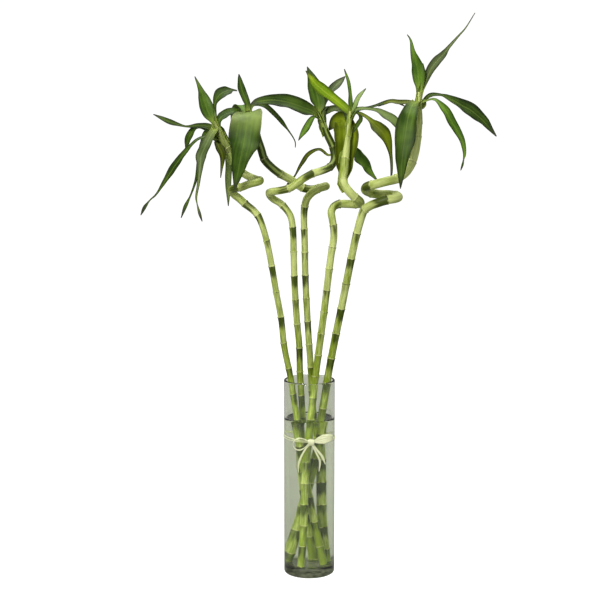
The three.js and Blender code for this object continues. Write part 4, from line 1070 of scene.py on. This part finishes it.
def vase_profile():
    """From the middle of the underside, up the wall and over the lip, to the middle of the floor.
    EDGE_HOLD is how near a ring of points lies to each arc, so that the flats shade as flat."""
    inner = VASE_RADIUS - VASE_WALL
    lip = VASE_WALL / 2
    low, high = VASE_HEEL + EDGE_HOLD, VASE_HEIGHT - lip - EDGE_HOLD
    return [
        (0, 0.0), (FACE_RING, 0), (VASE_RADIUS - VASE_HEEL - EDGE_HOLD, 0),
        *arc((VASE_RADIUS - VASE_HEEL, VASE_HEEL), VASE_HEEL, -90, 0),
        (VASE_RADIUS, low), (VASE_RADIUS, 0.5 * VASE_HEIGHT), (VASE_RADIUS, high),
        *arc((VASE_RADIUS - lip, VASE_HEIGHT - lip), lip, 0, 180, 10),
        (inner, high), (inner, 0.5 * VASE_HEIGHT), (inner, VASE_FLOOR + VASE_COVE + EDGE_HOLD),
        *arc((inner - VASE_COVE, VASE_FLOOR + VASE_COVE), VASE_COVE, 0, -90),
        (inner - VASE_COVE - EDGE_HOLD, VASE_FLOOR), (FACE_RING, VASE_FLOOR), (0, VASE_FLOOR),
    ]


def water_profile():
    """The fill, a little into the glass all round, with its surface drawn up where it meets it."""
    radius = VASE_RADIUS - VASE_WALL + WATER_OVERLAP
    foot = VASE_FLOOR - WATER_OVERLAP
    top = [(radius - d, WATER_LEVEL + MENISCUS_RISE * math.exp(-d / MENISCUS_REACH * MENISCUS_FALLS))
           for d in MENISCUS_STEPS]
    return [
        (0, foot), (FACE_RING, foot), (radius - VASE_COVE - EDGE_HOLD, foot),
        *arc((radius - VASE_COVE, foot + VASE_COVE), VASE_COVE, -90, 0),
        (radius, foot + VASE_COVE + EDGE_HOLD), (radius, 0.5 * WATER_LEVEL),
        (radius, WATER_LEVEL - 1), *top, (0, WATER_LEVEL),
    ]


def settle(piece, slot, *nodes):
    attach(piece, "root")
    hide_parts(*nodes)


def area_light(name, place, target, size, watts, colour):
    lamp = bpy.data.lights.new(name, "AREA")
    lamp.shape = "RECTANGLE"
    lamp.size, lamp.size_y = size
    lamp.energy = watts
    lamp.color = linear(colour)[:3]
    made = bpy.data.objects.new(name, lamp)
    made.location = place
    made.rotation_euler = (Vector(target) - Vector(place)).to_track_quat("-Z", "Y").to_euler()
    bpy.context.scene.collection.objects.link(made)


def glass_view(tree):
    """Whether a ray is the camera's own, and whether it is the camera's view through glass, which a
    ray that has already met a matt surface is not."""
    straight = add(tree, "ShaderNodeLightPath", out="Is Camera Ray")
    rays = straight.node.outputs
    fresh = add(tree, "ShaderNodeMath", {0: rays["Diffuse Depth"], 1: 0.5}, operation="LESS_THAN")
    through = add(tree, "ShaderNodeMath", {0: rays["Is Transmission Ray"], 1: fresh},
                  operation="MULTIPLY")
    return straight, through


def white_studio():
    """A white cove: bright where it is seen, straight or through the glass, and dimmer as a light.
    Dark cards at its sides give the glass its edges. Its floor is seen white too, but through the
    glass its glow is dimmer near the vase, a painted shadow of it."""
    world = bpy.data.worlds.new("white_cove")
    bpy.context.scene.world = world
    world.use_nodes = True
    tree = world.node_tree
    tree.nodes.clear()
    straight, through = glass_view(tree)
    where = add(tree, "ShaderNodeTexCoord", out="Generated")
    sideways = add(tree, "ShaderNodeSeparateXYZ", {0: where})
    cards = add(tree, "ShaderNodeMath", {0: sideways}, operation="ABSOLUTE")
    cards = add(tree, "ShaderNodeMapRange", {0: cards, 1: 0.4, 2: 0.7, 3: 0.15, 4: 0.06},
                interpolation_type="SMOOTHSTEP")
    level = add(tree, "ShaderNodeMath", {0: cards, 1: through, 2: 0.22}, operation="MULTIPLY_ADD")
    lit = add(tree, "ShaderNodeBackground", {0: linear("#FFFFFF"), 1: level})
    shown = add(tree, "ShaderNodeBackground", {0: linear("#FFFFFF"), 1: 1.05})
    both = add(tree, "ShaderNodeMixShader", {0: straight, 1: lit, 2: shown})
    add(tree, "ShaderNodeOutputWorld", {0: both})

    paper, tree = new_material("white_paper_sweep")
    straight, through = glass_view(tree)
    where = add(tree, "ShaderNodeTexCoord", out="Object")
    away = add(tree, "ShaderNodeVectorMath", {0: where}, out=1, operation="LENGTH")
    # Painted shadow: seen through the glass, the floor glows less near the vase.
    clear = add(tree, "ShaderNodeMapRange", {0: away, 1: 0.1, 2: 0.6, 3: 0.2, 4: 0.3},
                interpolation_type="SMOOTHSTEP")
    clear = add(tree, "ShaderNodeMath", {0: clear, 1: through}, operation="MULTIPLY")
    glow = add(tree, "ShaderNodeMath", {0: straight, 1: clear}, operation="MAXIMUM")
    face = add(tree, "ShaderNodeBsdfPrincipled", {
        "Base Color": linear("#8C8E8A"), "Roughness": 0.9, "Specular IOR Level": 0.0,
        "Emission Color": linear("#FFFFFF"), "Emission Strength": glow})
    add(tree, "ShaderNodeOutputMaterial", {0: face})
    mesh = bpy.data.meshes.new("floor")
    mesh.from_pydata([(x * FLOOR_REACH, y * FLOOR_REACH, FLOOR_LEVEL)
                      for x, y in ((-1, -1), (1, -1), (1, 1), (-1, 1))], [], [(0, 1, 2, 3)])
    mesh.materials.append(paper)
    floor = bpy.data.objects.new("floor", mesh)
    bpy.context.scene.collection.objects.link(floor)
    for name, place, height, size, watts, colour in LAMPS:
        area_light(name, place, (0, 0, height), size, watts, colour)


def camera():
    eye = bpy.data.cameras.new("camera")
    eye.lens = CAMERA_LENS
    eye.sensor_width = SENSOR
    eye.clip_end = CLIP_END
    made = bpy.data.objects.new("camera", eye)
    made.location = [v * MM for v in CAMERA_PLACE]
    made.rotation_euler = (math.radians(90 - CAMERA_TILT), 0, 0)
    bpy.context.scene.collection.objects.link(made)
    bpy.context.scene.camera = made


camera()
white_studio()
bpy.context.scene.view_settings.view_transform = "Standard"

# The foot colours of the glass and the water carry a painted reflection of the stems and painted shade.
glass = clear_body("clear_soda_lime_glass", "#F0F3E6", "#B0B894", "#20260C", 1.5)
water = clear_body("still_water", "#FDFEFC", "#F0F2E6", "#B9C0A4", 1.333)
raffia = raffia_fibre()
cane_skin = green_cane()
LEAF_SKINS = {
    "dark": waxed_leaf("dark_waxed_leaf", "#587624", "#304A0E", "#5E6E36", "#788E3E"),
    "mid": waxed_leaf("mid_green_waxed_leaf", "#648828", "#3C5C12", "#687C3A", "#809C3C"),
    "bright": waxed_leaf("young_bright_leaf", "#98B41C", "#6E9012", "#8A9E34", "#C6D550"),
    "olive": waxed_leaf("olive_waxed_leaf", "#707F12", "#46540A", "#727A2C", "#929E34"),
    "grey": waxed_leaf("grey_green_leaf", "#7C9052", "#586C36", "#84946A", "#93A460"),
}

settle(lathe_piece("glass_vase", vase_profile(), VASE_SIDES, glass), "vase_glass", "vase")
settle(lathe_piece("vase_water", water_profile(), VASE_SIDES, water), "water", "water")

canes_tree, blades_tree = cane_tree(), blade_tree()
settle(tie_piece(blades_tree, raffia), "raffia", "raffia_tie")
for stalk, cane in CANES.items():
    cane["line"] = Line(cane["path"])
    settle(cane_piece(f"cane_{stalk[-1]}", cane, canes_tree, cane_skin), "cane", stalk)
    for index, leaf in enumerate(LEAVES[stalk]):
        node = f"leaf_{stalk[-1]}_{leaf['name']}"
        blade = leaf_piece(f"blade_{stalk[-1]}_{leaf['name']}", cane, leaf, index, blades_tree,
                           LEAF_SKINS[leaf.get("skin", leaf["tone"])])
        settle(blade, f"leaf_{leaf['tone']}", node)
